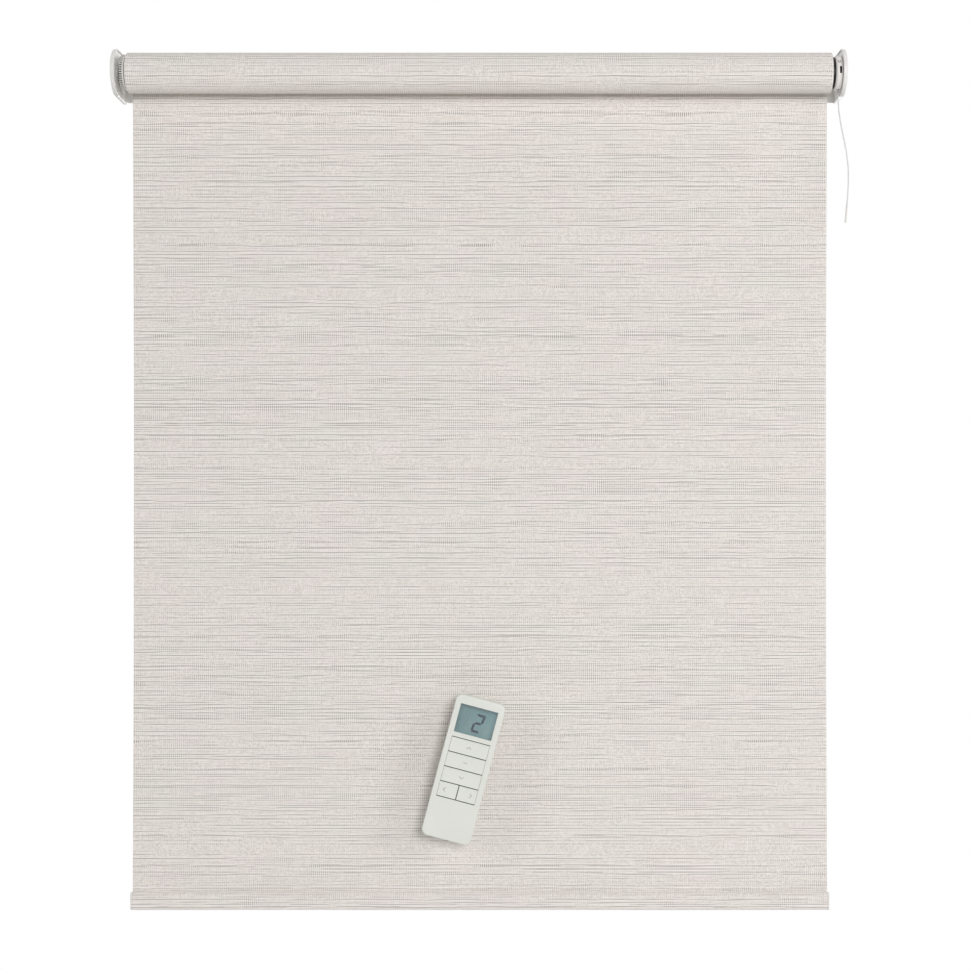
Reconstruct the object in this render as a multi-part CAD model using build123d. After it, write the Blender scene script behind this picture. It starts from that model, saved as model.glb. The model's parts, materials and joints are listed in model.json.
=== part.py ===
from build123d import *
import math
import os

# Motorized roller blind, in millimetres.
# The model is drawn about the tube axis: X along the tube towards the motor end, Y towards the wall, Z up.
# On writing it moves so that the origin lies on the wall, midway between the brackets, level with the tube.

os.makedirs("parts", exist_ok=True)

# Cloth and tube
cloth_width = 700.0
cloth_thickness = 0.35
reserve_turns = 3
tube_diameter = 38.0
tube_wall = 1.2
keyway_width = 4.6
keyway_depth = 2.4
drop = 838.0
body_gap = 0.3
slip = 0.1
running = 0.06
spline_recess = 0.5
spline_rounding = 0.5

# Brackets and covers
axis_to_wall = 36.0
near = 0.01
head_gap = 0.4
plate_thickness = 1.2
plate_half_height = 22.0
flange_reach = 25.0
flange_corner = 3.0
wall_hole_diameter = 4.5
wall_hole_spacing = 30.0
cover_half_height = 23.4
cover_thickness = 3.2
cover_lip = 1.0
cover_skin = 0.9
cover_rounding = 1.6
cover_inner_chamfer = 0.5
peg_diameter = 3.0
peg_height = 15.5
peg_to_wall = 14.0

# Motor head
collar_diameter = 31.6
collar_width = 3.2
collar_bevel = 0.5
crown_sleeve_length = 18.0
crown_rim_width = 0.8
base_thickness = 1.5
base_bore_diameter = 13.2
base_step = 0.2
head_diameter = 33.7
head_width = 5.1
head_wall = 1.8
head_end_wall = 1.2
head_flat = 0.5
head_bevel = 0.6
spigot_side = 10.0
spigot_corner = 0.8
spigot_nose_diameter = 9.0
spigot_nose_length = 0.3
clip_groove_diameter = 7.2
clip_thickness = 0.5
clip_diameter = 13.2
clip_bite = 1.4
port_height = 6.9
port_width = 2.0
port_depth = 5.0
port_shell = 0.25
port_from_board = 0.8
port_sink = 0.9
port_floor = 0.6
tongue_thickness = 0.5
tongue_side_gap = 1.3
tongue_sink = 0.8
set_button_width = 1.2
set_button_side_gap = 0.7
set_button_height = 3.8
set_button_angle = 31.0
set_button_travel = 0.5
set_button_from_port = 0.8
set_button_proud = 0.1
set_button_rounding = 0.3
foot_gap = 0.35
foot_thickness = 0.6
foot_reach = 0.7
switch_width = 1.6
switch_height = 3.2
switch_depth = 1.7
plunger_width = 1.0
plunger_height = 1.6
plunger_length = 0.5
board_thickness = 1.0
board_flat = 12.0

# Tubular motor, from the head inwards
casing_diameter = 25.0
casing_wall = 0.9
cell_diameter = 18.4
cell_length = 65.0
cell_count = 3
cell_gap = 0.6
cell_margin = 6.0
cell_nub_length = 1.0
cell_nub_share = 0.35
cell_bevel = 0.5
sleeve_wall = 1.9
sleeve_overlap = 1.0
casing_bevel = 0.4
motor_diameter = 22.8
motor_length = 46.0
motor_bevel = 0.8
motor_flat_distance = 20.4
motor_flat_start = 8.0
motor_flat_end = 6.0
motor_boss_diameter = 8.0
motor_tail_diameter = 6.0
motor_boss_length = 1.0
motor_tail_length = 1.2
motor_to_cells = 2.0
cartridge_length = 24.0
cartridge_bore_depth = 10.0
groove_width = 0.8
groove_depth = 0.6
stage_gap = 0.3
bearing_length = 6.0
output_shaft_diameter = 9.0
output_hex = 7.0
shaft_groove_depth = 0.8
shaft_end = 3.0
drive_wheel_gap = 1.2
drive_wheel_width = 14.0
drive_hub_diameter = 12.8
drive_rim = 1.4
drive_spoke_count = 6
drive_spoke_width = 2.0
drive_pocket_depth = 5.0
shaft_clip_diameter = 11.2
shaft_clip_thickness = 0.8
shaft_clip_bite = 1.0

# Last planetary stage
gear_module = 0.5
sun_teeth = 15
planet_teeth = 12
ring_teeth = sun_teeth + 2 * planet_teeth
planet_count = 3
gear_width = 8.0
pressure_angle = 20.0
tooth_top = 0.8
tooth_root = 1.12
backlash = 0.09
planet_pin_diameter = 2.0
sun_shaft_diameter = 3.0
sun_shaft_reach = 9.0
carrier_thickness = 2.5
carrier_clearance = 1.0
washer_height = 0.3

# Idle end
idle_plug_length = 38.0
idle_groove_count = 8
idle_groove_width = 3.0
idle_groove_depth = 1.2
hub_diameter = 10.0
hub_depth = 4.0
thumbwheel_gap = 1.2
thumbwheel_width = 4.2
thumbwheel_band_width = 1.7
thumbwheel_diameter = 36.4
notch_count = 50
notch_width = 1.25
notch_depth = 2.0
band_step = 1.0
dish_rim = 3.6
dish_depth = 1.0
pin_diameter = 6.0
pin_length = 38.0
pin_engagement = 2.8
pin_bevel = 0.8
bush_flange_diameter = 14.0
bush_flange_thickness = 1.2
bush_neck_diameter = 9.0
bush_floor = 0.3

# Bottom bar and hem
bar_height = 17.0
bar_thickness = 5.0
bar_wall = 1.1
bar_cap_thickness = 1.4
bar_cap_plug = 12.0
bar_cap_bevel = 0.6
weld_overlap = 1.6
hem_weld_height = 4.0

# Antenna wire: the points of its route, as x and z about the tube axis, chosen by hand
antenna_diameter = 1.4
antenna_tip_diameter = 1.9
antenna_tip_length = 18.0
antenna_tip_bevel = 0.3
antenna_points = [
    (358.0, -16.45),
    (357.2, -31.0),
    (361.0, -55.0),
    (367.0, -83.0),
    (368.4, -108.0),
    (366.4, -131.0),
]

# Hand transmitter, drawn upright and facing the viewer, then tilted and set before the cloth
remote_width = 50.0
remote_length = 144.0
remote_depth = 14.0
remote_corner = 7.0
remote_wall = 1.6
remote_edge = 1.4
remote_x = -15.5
remote_z = -692.0
remote_forward = 6.0
remote_tilt = 14.9
remote_seam = 0.15
lip_gap = 0.15
lip_inset = 0.8
lip_overlap = 0.2
lip_front = -1.0
lip_back = 0.9
bridge_front = 0.4
window_width = 38.2
window_height = 28.8
window_from_top = 8.8
key_area_width = 39.0
key_pitch = 15.15
key_rows = 4
key_gap = 0.8
keys_from_top = 42.1
key_thickness = 2.0
key_travel = 0.8
key_clearance = 0.2
key_rounding = 0.25
mat_thickness = 1.0
mat_margin = 1.5
mat_rib_sink = 0.5
mat_rib_gap = 0.15
lens_thickness = 0.8
lens_sink = 0.4
display_thickness = 1.5
display_margin = 2.0
board_margin = 1.5
coin_diameter = 24.5
coin_thickness = 5.0
coin_bevel = 0.5
coin_cap_inset = 1.6
coin_cap_height = 1.2
coin_from_edge = 5.5
holder_wall = 1.2
holder_below_cell = 1.0
holder_notch_width = 8.0
holder_notch_height = 9.0
holder_notch_sink = 1.5
contact_thickness = 0.4
contact_disc_diameter = 8.0
finger_count = 3
finger_length = 8.0
finger_width = 2.2
finger_middle = 5.0
door_width = 30.0
door_length = 44.0
door_tongue = 1.0
door_tongue_thickness = 0.5
door_tongue_short = 6.0
door_gap = 0.2
door_rounding = 1.2
door_cut_margin = 0.5
grip_count = 5
grip_pitch = 2.0
grip_width = 0.8
grip_depth = 0.4
grip_length = 14.0
grip_from_top = 8.0

# Places worked out from the sizes above
cloth_half = cloth_width / 2
tube_end = cloth_half - crown_rim_width
tube_radius = tube_diameter / 2
tube_inner = tube_radius - tube_wall
rib_inner = tube_radius - keyway_depth - tube_wall
rib_width = keyway_width + 2 * tube_wall
roll_radius = tube_radius + reserve_turns * cloth_thickness
sheet_front = roll_radius + body_gap
sheet_back = sheet_front + cloth_thickness
head_x = cloth_half + collar_width
drum_x = head_x + base_thickness
drum_end = drum_x + head_width
plate_x = drum_end + head_gap
cover_end = plate_x + cover_thickness
head_radius = head_diameter / 2
casing_radius = casing_diameter / 2
casing_inner = casing_radius - casing_wall
planet_orbit = gear_module * (sun_teeth + planet_teeth) / 2


def across(x):
    """The plane square to the tube axis at x, with Y to the right and Z up."""
    return Plane(origin=(x, 0, 0), x_dir=(0, 1, 0), z_dir=(1, 0, 0))


def along_x(profile, x_start, x_end):
    """A profile in Y and Z, run along the tube axis."""
    return extrude(across(x_start) * profile, x_end - x_start)


def disc(radius, x_start, x_end):
    """A plain cylinder about the tube axis."""
    return along_x(Circle(radius), x_start, x_end)


def turned(points):
    """A solid turned about the tube axis from a closed outline of x and radius."""
    return revolve(make_face(Polyline(*points, close=True)), Axis.X)


def block(x_range, y_range, z_range):
    """A box between two corners."""
    size = [high - low for low, high in (x_range, y_range, z_range)]
    middle = [(high + low) / 2 for low, high in (x_range, y_range, z_range)]
    return Pos(*middle) * Box(*size)


def write(name, shape):
    """Moves a finished piece to the wall frame and writes it."""
    placed = Pos(0, -axis_to_wall, 0) * shape
    placed.label = name
    export_step(placed, f"parts/{name}.step")


def group(pieces):
    """Separate solids that share one node."""
    joined = pieces[0]
    for piece in pieces[1:]:
        joined = joined + piece
    return joined


# Tube, spline and roll of cloth

def keyway_block(width, bottom):
    """The space of the keyway, or of the rib inside the tube, at the top of the tube."""
    return Pos(0, (bottom + tube_diameter) / 2) * Rectangle(width, tube_diameter - bottom)


def tube_section():
    outside = Circle(tube_radius) - keyway_block(keyway_width, tube_radius - keyway_depth)
    inside = Circle(tube_inner) - keyway_block(rib_width, rib_inner)
    return outside - inside


def make_tube():
    """The tube, a little shorter than the cloth at the motor end to take the crown's rim."""
    return along_x(tube_section(), -cloth_half, tube_end)


def make_spline():
    """The strip that locks the cloth in the keyway."""
    half = keyway_width / 2 - slip
    keyway_floor = tube_radius - keyway_depth
    strip = block((-cloth_half, tube_end), (-half, half), (keyway_floor + slip, tube_radius - spline_recess))
    return fillet(strip.edges().filter_by(Axis.X), spline_rounding)


def make_roll():
    return along_x(Circle(roll_radius) - Circle(tube_radius + slip / 2), -cloth_half, cloth_half)


def plug_section(clearance, hole):
    """A disc that slides into the tube, notched for the rib."""
    notch = keyway_block(rib_width + 2 * clearance, rib_inner - clearance)
    return Circle(tube_inner - clearance) - notch - hole


# Brackets and covers, drawn at the motor end

def u_outline(half_height):
    """Straight from the wall to the tube axis, then half a circle to the front."""
    return Circle(half_height) + Pos(axis_to_wall / 2, 0) * Rectangle(axis_to_wall, 2 * half_height)


def peg_places():
    return [(axis_to_wall - peg_to_wall, peg_height), (axis_to_wall - peg_to_wall, -peg_height)]


def bracket(centre_hole):
    """Bent steel plate: a cheek square to the tube and a flange on the wall."""
    cheek_outline = u_outline(plate_half_height) - centre_hole
    for place in peg_places():
        cheek_outline -= Pos(*place) * Circle(peg_diameter / 2 + slip)
    cheek = along_x(cheek_outline, plate_x, plate_x + plate_thickness)
    flange_start = plate_x - flange_reach
    flange = block(
        (flange_start, plate_x + plate_thickness),
        (axis_to_wall - plate_thickness, axis_to_wall),
        (-plate_half_height, plate_half_height),
    )
    free_corners = flange.edges().filter_by(Axis.Y).group_by(Axis.X)[0]
    flange = fillet(free_corners, flange_corner)
    for height in (-wall_hole_spacing / 2, wall_hole_spacing / 2):
        hole = Pos(plate_x - flange_reach / 2, axis_to_wall, height) * Rot(90, 0, 0)
        flange -= hole * Cylinder(wall_hole_diameter / 2, 4 * plate_thickness)
    bent = cheek + flange
    outer_bend = bent.edges().filter_by(Axis.Z).group_by(Axis.X)[-1].group_by(Axis.Y)[-1]
    bent = fillet(outer_bend, plate_thickness)
    inner_bend = [
        edge for edge in bent.edges().filter_by(Axis.Z)
        if abs(edge.center().X - plate_x) < near
        and abs(edge.center().Y - (axis_to_wall - plate_thickness)) < near
    ]
    return fillet(inner_bend, plate_thickness / 2)


def cover():
    """Plastic cover: a rim round the cheek and past it, a rounded outer edge and two pegs into the plate."""
    shell = along_x(u_outline(cover_half_height), plate_x - cover_lip, cover_end)
    outer_face = shell.faces().filter_by(Axis.X).sort_by(Axis.X)[-1]
    rim_edges = [edge for edge in outer_face.edges() if edge.center().Y < axis_to_wall - near]
    shell = fillet(rim_edges, cover_rounding)
    inner_face = shell.faces().filter_by(Axis.X).sort_by(Axis.X)[0]
    inner_edges = [edge for edge in inner_face.edges() if edge.center().Y < axis_to_wall - near]
    shell = chamfer(inner_edges, cover_inner_chamfer)
    recess = along_x(u_outline(plate_half_height + slip), plate_x - cover_lip, cover_end - cover_skin)
    shell -= recess
    for place in peg_places():
        peg = Pos(*place) * Circle(peg_diameter / 2)
        shell += along_x(peg, plate_x + slip, cover_end - cover_skin)
    return shell


# Motor head

def make_head_base():
    """Bevelled ring that closes the inner side of the head."""
    return turned([
        (head_x, base_bore_diameter / 2),
        (head_x, collar_diameter / 2),
        (drum_x - base_step, head_radius - base_step),
        (drum_x, head_radius - base_step),
        (drum_x, base_bore_diameter / 2),
    ])


def set_button_place(radius):
    """A place on the head's front, raised round the axis, with Y pointing inwards."""
    return Rot(-set_button_angle, 0, 0) * Pos(button_x, -radius, 0)


port_x = drum_x + board_thickness + port_from_board + port_width / 2
button_x = port_x - set_button_from_port


def upright_slot(x, width, height, depth_start, depth_end):
    """A rounded bar with its long side upright, seen from the front."""
    outline = Rot(90, 0, 0) * RectangleRounded(width, height, width / 3)
    return Pos(x, depth_end, 0) * extrude(outline, depth_end - depth_start)


def make_motor_head():
    outer = [
        (drum_x, head_radius - head_wall),
        (drum_x, head_radius),
        (drum_end - head_bevel, head_radius),
        (drum_end, head_radius - head_bevel),
        (drum_end, 0),
        (drum_end - head_end_wall, 0),
        (drum_end - head_end_wall, head_radius - head_wall),
    ]
    head = turned(outer)
    flat_floor = -head_radius + head_flat
    head -= block((drum_x, drum_end), (-head_radius, head_radius), (-head_radius - 1, flat_floor))
    spigot = RectangleRounded(spigot_side, spigot_side, spigot_corner)
    head += along_x(spigot, drum_end - head_end_wall, plate_x + plate_thickness)
    nose_start = plate_x + plate_thickness
    nose = disc(clip_groove_diameter / 2, nose_start, nose_start + clip_thickness + slip)
    nose += disc(
        spigot_nose_diameter / 2,
        nose_start + clip_thickness + slip,
        nose_start + clip_thickness + slip + spigot_nose_length,
    )
    head += nose
    front_wall = (-head_radius - head_wall, -head_radius + 2 * head_wall)
    head -= upright_slot(port_x, port_width + 2 * slip, port_height + 2 * slip, *front_wall)
    button_hole = set_button_place(head_radius) * block(
        (-set_button_width / 2 - set_button_side_gap, set_button_width / 2 + set_button_side_gap),
        (-head_wall, 2 * head_wall),
        (-set_button_height / 2 - slip, set_button_height / 2 + slip),
    )
    return head - button_hole


foot_front = head_wall + foot_gap


def make_set_button():
    """Flush push button with a foot behind the wall that keeps it in."""
    stem = block(
        (-set_button_width / 2, set_button_width / 2),
        (-set_button_proud, foot_front + foot_thickness / 2),
        (-set_button_height / 2, set_button_height / 2),
    )
    stem = fillet(stem.edges().filter_by(Axis.Y), set_button_rounding)
    foot = block(
        (-set_button_width / 2, set_button_width / 2),
        (foot_front, foot_front + foot_thickness),
        (-set_button_height / 2 - foot_reach, set_button_height / 2 + foot_reach),
    )
    return set_button_place(head_radius) * (stem + foot)


def make_set_switch():
    """Small push switch on the board, under the set button."""
    top = foot_front + foot_thickness + set_button_travel + slip
    case_top = top + plunger_length
    case = block(
        (-switch_width / 2, switch_width / 2),
        (case_top, case_top + switch_depth),
        (-switch_height / 2, switch_height / 2),
    )
    plunger = block(
        (-plunger_width / 2, plunger_width / 2),
        (top, case_top),
        (-plunger_height / 2, plunger_height / 2),
    )
    return set_button_place(head_radius) * (case + plunger)


def make_control_board():
    outline = Circle(head_radius - head_wall - body_gap)
    outline -= Pos(0, -board_flat - head_radius / 2) * Rectangle(2 * head_radius, head_radius)
    return along_x(outline, drum_x + slip, drum_x + slip + board_thickness)


def make_port():
    """Metal charging socket with its tongue."""
    front = -head_radius + port_sink
    floor = front + port_depth - port_floor
    shell = upright_slot(port_x, port_width, port_height, front, front + port_depth)
    mouth = upright_slot(
        port_x, port_width - 2 * port_shell, port_height - 2 * port_shell, front - port_shell, floor
    )
    tongue = block(
        (port_x - tongue_thickness / 2, port_x + tongue_thickness / 2),
        (front + tongue_sink, floor + port_floor / 2),
        (-port_height / 2 + tongue_side_gap, port_height / 2 - tongue_side_gap),
    )
    return shell - mouth + tongue


def open_ring(outer, inner, x_start, thickness, opening):
    """A clip: a flat ring with a mouth at the bottom."""
    ring = Circle(outer) - Circle(inner) - Pos(0, -outer) * Rectangle(opening, 2 * outer)
    return along_x(ring, x_start, x_start + thickness)


def make_head_clip():
    start = plate_x + plate_thickness + slip / 2
    inner = clip_groove_diameter / 2 + slip
    return open_ring(clip_diameter / 2, inner, start, clip_thickness, clip_groove_diameter - clip_bite)


# Tubular motor

casing_end = head_x
cells_end = casing_end - cell_margin
cells_start = cells_end - cell_count * cell_length - (cell_count - 1) * cell_gap
motor_end = cells_start - motor_to_cells
motor_start = motor_end - motor_length
cartridge_end = motor_start - slip
cartridge_start = cartridge_end - cartridge_length
ring_end = cartridge_start
ring_start = ring_end - gear_width - 2 * stage_gap
carrier_end = ring_start - stage_gap
carrier_start = carrier_end - carrier_thickness
bearing_end = carrier_start - stage_gap
casing_start = bearing_end - bearing_length
wheel_end = casing_start - drive_wheel_gap
wheel_start = wheel_end - drive_wheel_width
shaft_start = wheel_start - shaft_end


def make_casing():
    """Plain tube with a bevel where it enters the crown."""
    return turned([
        (casing_start, casing_inner),
        (casing_start, casing_radius - casing_bevel),
        (casing_start + casing_bevel, casing_radius),
        (casing_end, casing_radius),
        (casing_end, casing_inner),
    ])


def make_cell_sleeve():
    outer = cell_diameter / 2 + slip + sleeve_wall
    section = Circle(outer) - Circle(cell_diameter / 2 + slip)
    return along_x(section, cells_start - sleeve_overlap, cells_end + sleeve_overlap)


def cell(x_start):
    """One battery cell with its positive nub at the high end."""
    radius = cell_diameter / 2
    can_end = x_start + cell_length - cell_nub_length
    can = disc(radius, x_start, can_end)
    can = chamfer(can.edges(), cell_bevel)
    return can + disc(radius * cell_nub_share, can_end, x_start + cell_length)


def make_cells():
    places = [cells_start + index * (cell_length + cell_gap) for index in range(cell_count)]
    return group([cell(place) for place in places])


def make_dc_motor():
    """Bevelled can with two flats, a shaft boss and a tail bearing."""
    can = disc(motor_diameter / 2, motor_start + motor_boss_length, motor_end)
    can = chamfer(can.edges(), motor_bevel)
    between_flats = block(
        (motor_start + motor_flat_start, motor_end - motor_flat_end),
        (-motor_diameter, motor_diameter),
        (-motor_flat_distance / 2, motor_flat_distance / 2),
    )
    flats = block(
        (motor_start + motor_flat_start, motor_end - motor_flat_end),
        (-motor_diameter, motor_diameter),
        (-motor_diameter, motor_diameter),
    )
    can -= flats - between_flats
    boss = disc(motor_boss_diameter / 2, motor_start + slip, motor_start + motor_boss_length)
    tail = disc(motor_tail_diameter / 2, motor_end, motor_end + motor_tail_length)
    return can + boss + tail


def make_cartridge():
    """Sealed first stages, with a bore for the sun gear's shaft."""
    body = disc(casing_inner - slip, cartridge_start, cartridge_end)
    groove = Circle(casing_radius) - Circle(casing_inner - slip - groove_depth)
    groove_start = cartridge_start + cartridge_length / 2
    body -= along_x(groove, groove_start, groove_start + groove_width)
    bore = disc(sun_shaft_diameter / 2 + running, cartridge_start, cartridge_start + cartridge_bore_depth)
    return body - bore


def involute(angle):
    return math.tan(angle) - angle


def tooth_angles(teeth, tip, root, thinning):
    """Half the tooth's angle at a few radii from root to tip, for an involute tooth."""
    pitch_radius = gear_module * teeth / 2
    base_radius = pitch_radius * math.cos(math.radians(pressure_angle))
    half_at_pitch = math.pi / (2 * teeth) - thinning / (2 * pitch_radius)
    start = max(base_radius, root)
    points = []
    if root < start:
        points.append((root, half_at_pitch + involute(math.radians(pressure_angle))))
    for step in range(4):
        radius = start + (tip - start) * step / 3
        turn = math.acos(min(1.0, base_radius / radius))
        points.append((radius, half_at_pitch + involute(math.radians(pressure_angle)) - involute(turn)))
    return points


def gear_outline(teeth, top, depth, thinning, first_angle):
    """A closed outline of involute teeth, the first one centred at first_angle degrees."""
    pitch_radius = gear_module * teeth / 2
    tip = pitch_radius + top * gear_module
    root = pitch_radius - depth * gear_module
    flank = tooth_angles(teeth, tip, root, thinning)
    corners = []
    for tooth in range(teeth):
        middle = math.radians(first_angle) + 2 * math.pi * tooth / teeth
        rising = [(radius, middle - half) for radius, half in flank]
        falling = [(radius, middle + half) for radius, half in reversed(flank)]
        corners += [(radius * math.cos(turn), radius * math.sin(turn)) for radius, turn in rising + falling]
    return make_face(Polyline(*corners, close=True))


def planet_first_angle(position):
    """Turns a planet so that its teeth meet the sun's gaps on the line of centres."""
    sun_phase = (position * sun_teeth / 360.0) % 1.0
    return position + 180.0 - (0.5 - sun_phase) * 360.0 / planet_teeth


def make_sun():
    teeth = gear_outline(sun_teeth, tooth_top, tooth_root, backlash, 0.0)
    start = ring_end - stage_gap - gear_width
    gear = along_x(teeth, start, start + gear_width)
    return gear + disc(sun_shaft_diameter / 2, start + gear_width, ring_end + sun_shaft_reach)


def planet_place(index):
    position = 360.0 * index / planet_count
    turn = math.radians(position)
    return position, planet_orbit * math.cos(turn), planet_orbit * math.sin(turn)


def make_planet(index):
    position, across_y, up_z = planet_place(index)
    teeth = gear_outline(planet_teeth, tooth_top, tooth_root, backlash, planet_first_angle(position))
    teeth -= Circle(planet_pin_diameter / 2 + running)
    start = ring_end - stage_gap - gear_width
    return along_x(Pos(across_y, up_z) * teeth, start, start + gear_width)


def make_ring_gear():
    space_phase = (planet_teeth * (0.0 - planet_first_angle(0.0)) / 360.0) % 1.0
    first_space = -space_phase * 360.0 / ring_teeth
    spaces = gear_outline(ring_teeth, tooth_root, tooth_top, -backlash, first_space)
    return along_x(Circle(casing_inner - slip) - spaces, ring_start, ring_end)


def make_carrier():
    """Planet carrier: a disc with three pins, and the output shaft with its hexagon."""
    body = disc(casing_inner - carrier_clearance, carrier_start, carrier_end)
    pin_end = ring_end - stage_gap - slip
    for index in range(planet_count):
        _, across_y, up_z = planet_place(index)
        washer = Pos(across_y, up_z) * Circle(planet_pin_diameter)
        body += along_x(washer, carrier_end, carrier_end + washer_height)
        body += along_x(Pos(across_y, up_z) * Circle(planet_pin_diameter / 2), carrier_end, pin_end)
    shoulder = casing_start - drive_wheel_gap / 2
    body += disc(output_shaft_diameter / 2, shoulder, carrier_start)
    hexagon = RegularPolygon(output_hex / 2, 6, major_radius=False)
    body += along_x(hexagon, shaft_start, shoulder)
    groove_start = wheel_start - 2 * slip - shaft_clip_thickness
    groove = Circle(output_hex) - Circle(output_hex / 2 - shaft_groove_depth)
    return body - along_x(groove, groove_start, wheel_start)


def make_bearing():
    section = Circle(casing_inner - slip) - Circle(output_shaft_diameter / 2 + running)
    return along_x(section, casing_start, bearing_end)


def make_drive_wheel():
    """Wheel that turns the tube: notched rim, hexagon bore and lightening pockets."""
    hexagon = RegularPolygon(output_hex / 2 + slip, 6, major_radius=False)
    wheel = along_x(plug_section(2 * slip, hexagon), wheel_start, wheel_end)
    pocket = Circle(rib_inner - drive_rim) - Circle(drive_hub_diameter / 2)
    spoke = Pos(0, tube_radius / 2) * Rectangle(drive_spoke_width, tube_radius)
    for index in range(drive_spoke_count):
        pocket -= Rot(0, 0, 360 * (index + 0.5) / drive_spoke_count) * spoke
    wheel -= along_x(pocket, wheel_start, wheel_start + drive_pocket_depth)
    return wheel - along_x(pocket, wheel_end - drive_pocket_depth, wheel_end)


def make_shaft_clip():
    start = wheel_start - slip - shaft_clip_thickness
    inner = output_hex / 2 - shaft_groove_depth + slip / 2
    return open_ring(shaft_clip_diameter / 2, inner, start, shaft_clip_thickness, 2 * inner - shaft_clip_bite)


def make_crown():
    """Black ring at the motor end: a notched sleeve in the tube, a rim on its end and a collar outside it."""
    bore = Circle(casing_radius + running)
    sleeve = along_x(plug_section(2 * slip, bore), tube_end - crown_sleeve_length, tube_end)
    collar = turned([
        (tube_end, casing_radius + running),
        (tube_end, tube_radius - slip),
        (cloth_half, tube_radius - slip),
        (cloth_half, collar_diameter / 2),
        (head_x - body_gap - collar_bevel, collar_diameter / 2),
        (head_x - body_gap, collar_diameter / 2 - collar_bevel),
        (head_x - body_gap, casing_radius + running),
    ])
    return sleeve + collar


# Idle end, at negative x

plug_face = -cloth_half
wheel_inner_face = plug_face - thumbwheel_gap
wheel_outer_face = wheel_inner_face - thumbwheel_width
bush_face = -plate_x + bush_flange_thickness
pin_tip = bush_face - pin_engagement


def make_idle_plug():
    """Ribbed plug in the tube's idle end, bored for the hub and the pin."""
    section = plug_section(2 * slip, Circle(pin_diameter / 2 + running))
    groove = Pos(0, tube_inner) * Rectangle(idle_groove_width, 2 * idle_groove_depth)
    for index in range(idle_groove_count):
        section -= Rot(0, 0, 360 * (index + 0.5) / idle_groove_count) * groove
    plug = along_x(section, plug_face, plug_face + idle_plug_length)
    return plug - disc(hub_diameter / 2 + running, plug_face, plug_face + hub_depth)


def notched_rim():
    """The thumbwheel's outline, with square notches for the fingers."""
    tip = thumbwheel_diameter / 2
    floor = tip - notch_depth
    corners = []
    for index in range(notch_count):
        middle = 2 * math.pi * index / notch_count
        for radius, side in ((tip, -1), (floor, -1), (floor, 1), (tip, 1)):
            turn = middle + side * notch_width / 2 / radius
            corners.append((radius * math.cos(turn), radius * math.sin(turn)))
    return make_face(Polyline(*corners, close=True))


def make_thumbwheel():
    """Wheel that screws the idle pin in and out: a notched rim beside a plain band."""
    bore = Circle(pin_diameter / 2 + running)
    band_start = wheel_inner_face - thumbwheel_band_width
    wheel = along_x(notched_rim() - bore, wheel_outer_face, band_start)
    wheel += along_x(Circle(thumbwheel_diameter / 2 - band_step) - bore, band_start, wheel_inner_face)
    dish = Circle(thumbwheel_diameter / 2 - dish_rim) - Circle(hub_diameter / 2)
    wheel -= along_x(dish, wheel_outer_face, wheel_outer_face + dish_depth)
    hub_end = plug_face + hub_depth - body_gap
    return wheel + along_x(Circle(hub_diameter / 2) - bore, wheel_inner_face, hub_end)


def make_idle_pin():
    """Round pin with a bevelled tip."""
    pin = disc(pin_diameter / 2, pin_tip, pin_tip + pin_length)
    return chamfer(pin.edges().group_by(Axis.X)[0], pin_bevel)


def make_pin_bush():
    """Plastic bush in the idle bracket that carries the pin."""
    flange = disc(bush_flange_diameter / 2, -plate_x, bush_face)
    bottom = pin_tip - body_gap
    neck = disc(bush_neck_diameter / 2, bottom - bush_floor, -plate_x)
    return flange + neck - disc(pin_diameter / 2 + running, bottom, bush_face)


# Bottom bar, hem and hanging cloth

hem_outer_thickness = bar_thickness + 2 * (cloth_thickness + slip)
hem_y = sheet_back - hem_outer_thickness / 2
hem_outer_height = bar_height + 2 * (cloth_thickness + slip)
hem_z = -drop + hem_outer_height / 2
weld_top = -drop + hem_outer_height + hem_weld_height


def upright_oval(height, thickness):
    """A slot shape in Y and Z, standing at the bar's place."""
    return Pos(hem_y, hem_z) * Rot(0, 0, 90) * SlotOverall(height, thickness)


def bar_space(side):
    """One of the two hollows of the bar, each side of its web."""
    hollow = upright_oval(bar_height - 2 * bar_wall, bar_thickness - 2 * bar_wall)
    half_z = hem_z + side * (bar_height / 4 + bar_wall / 2)
    return hollow & Pos(hem_y, half_z) * Rectangle(bar_thickness, bar_height / 2)


def make_bar():
    section = upright_oval(bar_height, bar_thickness) - bar_space(-1) - bar_space(1)
    return along_x(section, -cloth_half, cloth_half)


def make_bar_cap(side):
    """End cap: a lid as large as the hem, with two prongs in the bar's hollows."""
    outline = upright_oval(hem_outer_height, hem_outer_thickness)
    lid = along_x(outline, cloth_half, cloth_half + bar_cap_thickness)
    lid = chamfer(lid.faces().sort_by(Axis.X)[-1].edges(), bar_cap_bevel)
    for half in (-1, 1):
        prong = offset(bar_space(half), amount=-slip)
        lid += along_x(prong, cloth_half - bar_cap_plug, cloth_half)
    return lid if side > 0 else mirror(lid, about=Plane.YZ)


def make_hem():
    """Pocket of cloth round the bar, closed by a flat weld above it."""
    section = upright_oval(hem_outer_height, hem_outer_thickness)
    weld_low = hem_z + hem_outer_height / 2 - weld_overlap
    weld = Pos(sheet_back - cloth_thickness, (weld_low + weld_top) / 2)
    section += weld * Rectangle(2 * cloth_thickness, weld_top - weld_low)
    section -= upright_oval(bar_height + 2 * slip, bar_thickness + 2 * slip)
    return along_x(section, -cloth_half, cloth_half)


def make_sheet():
    return block((-cloth_half, cloth_half), (sheet_front, sheet_back), (weld_top + body_gap, 0))


# Antenna wire

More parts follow.
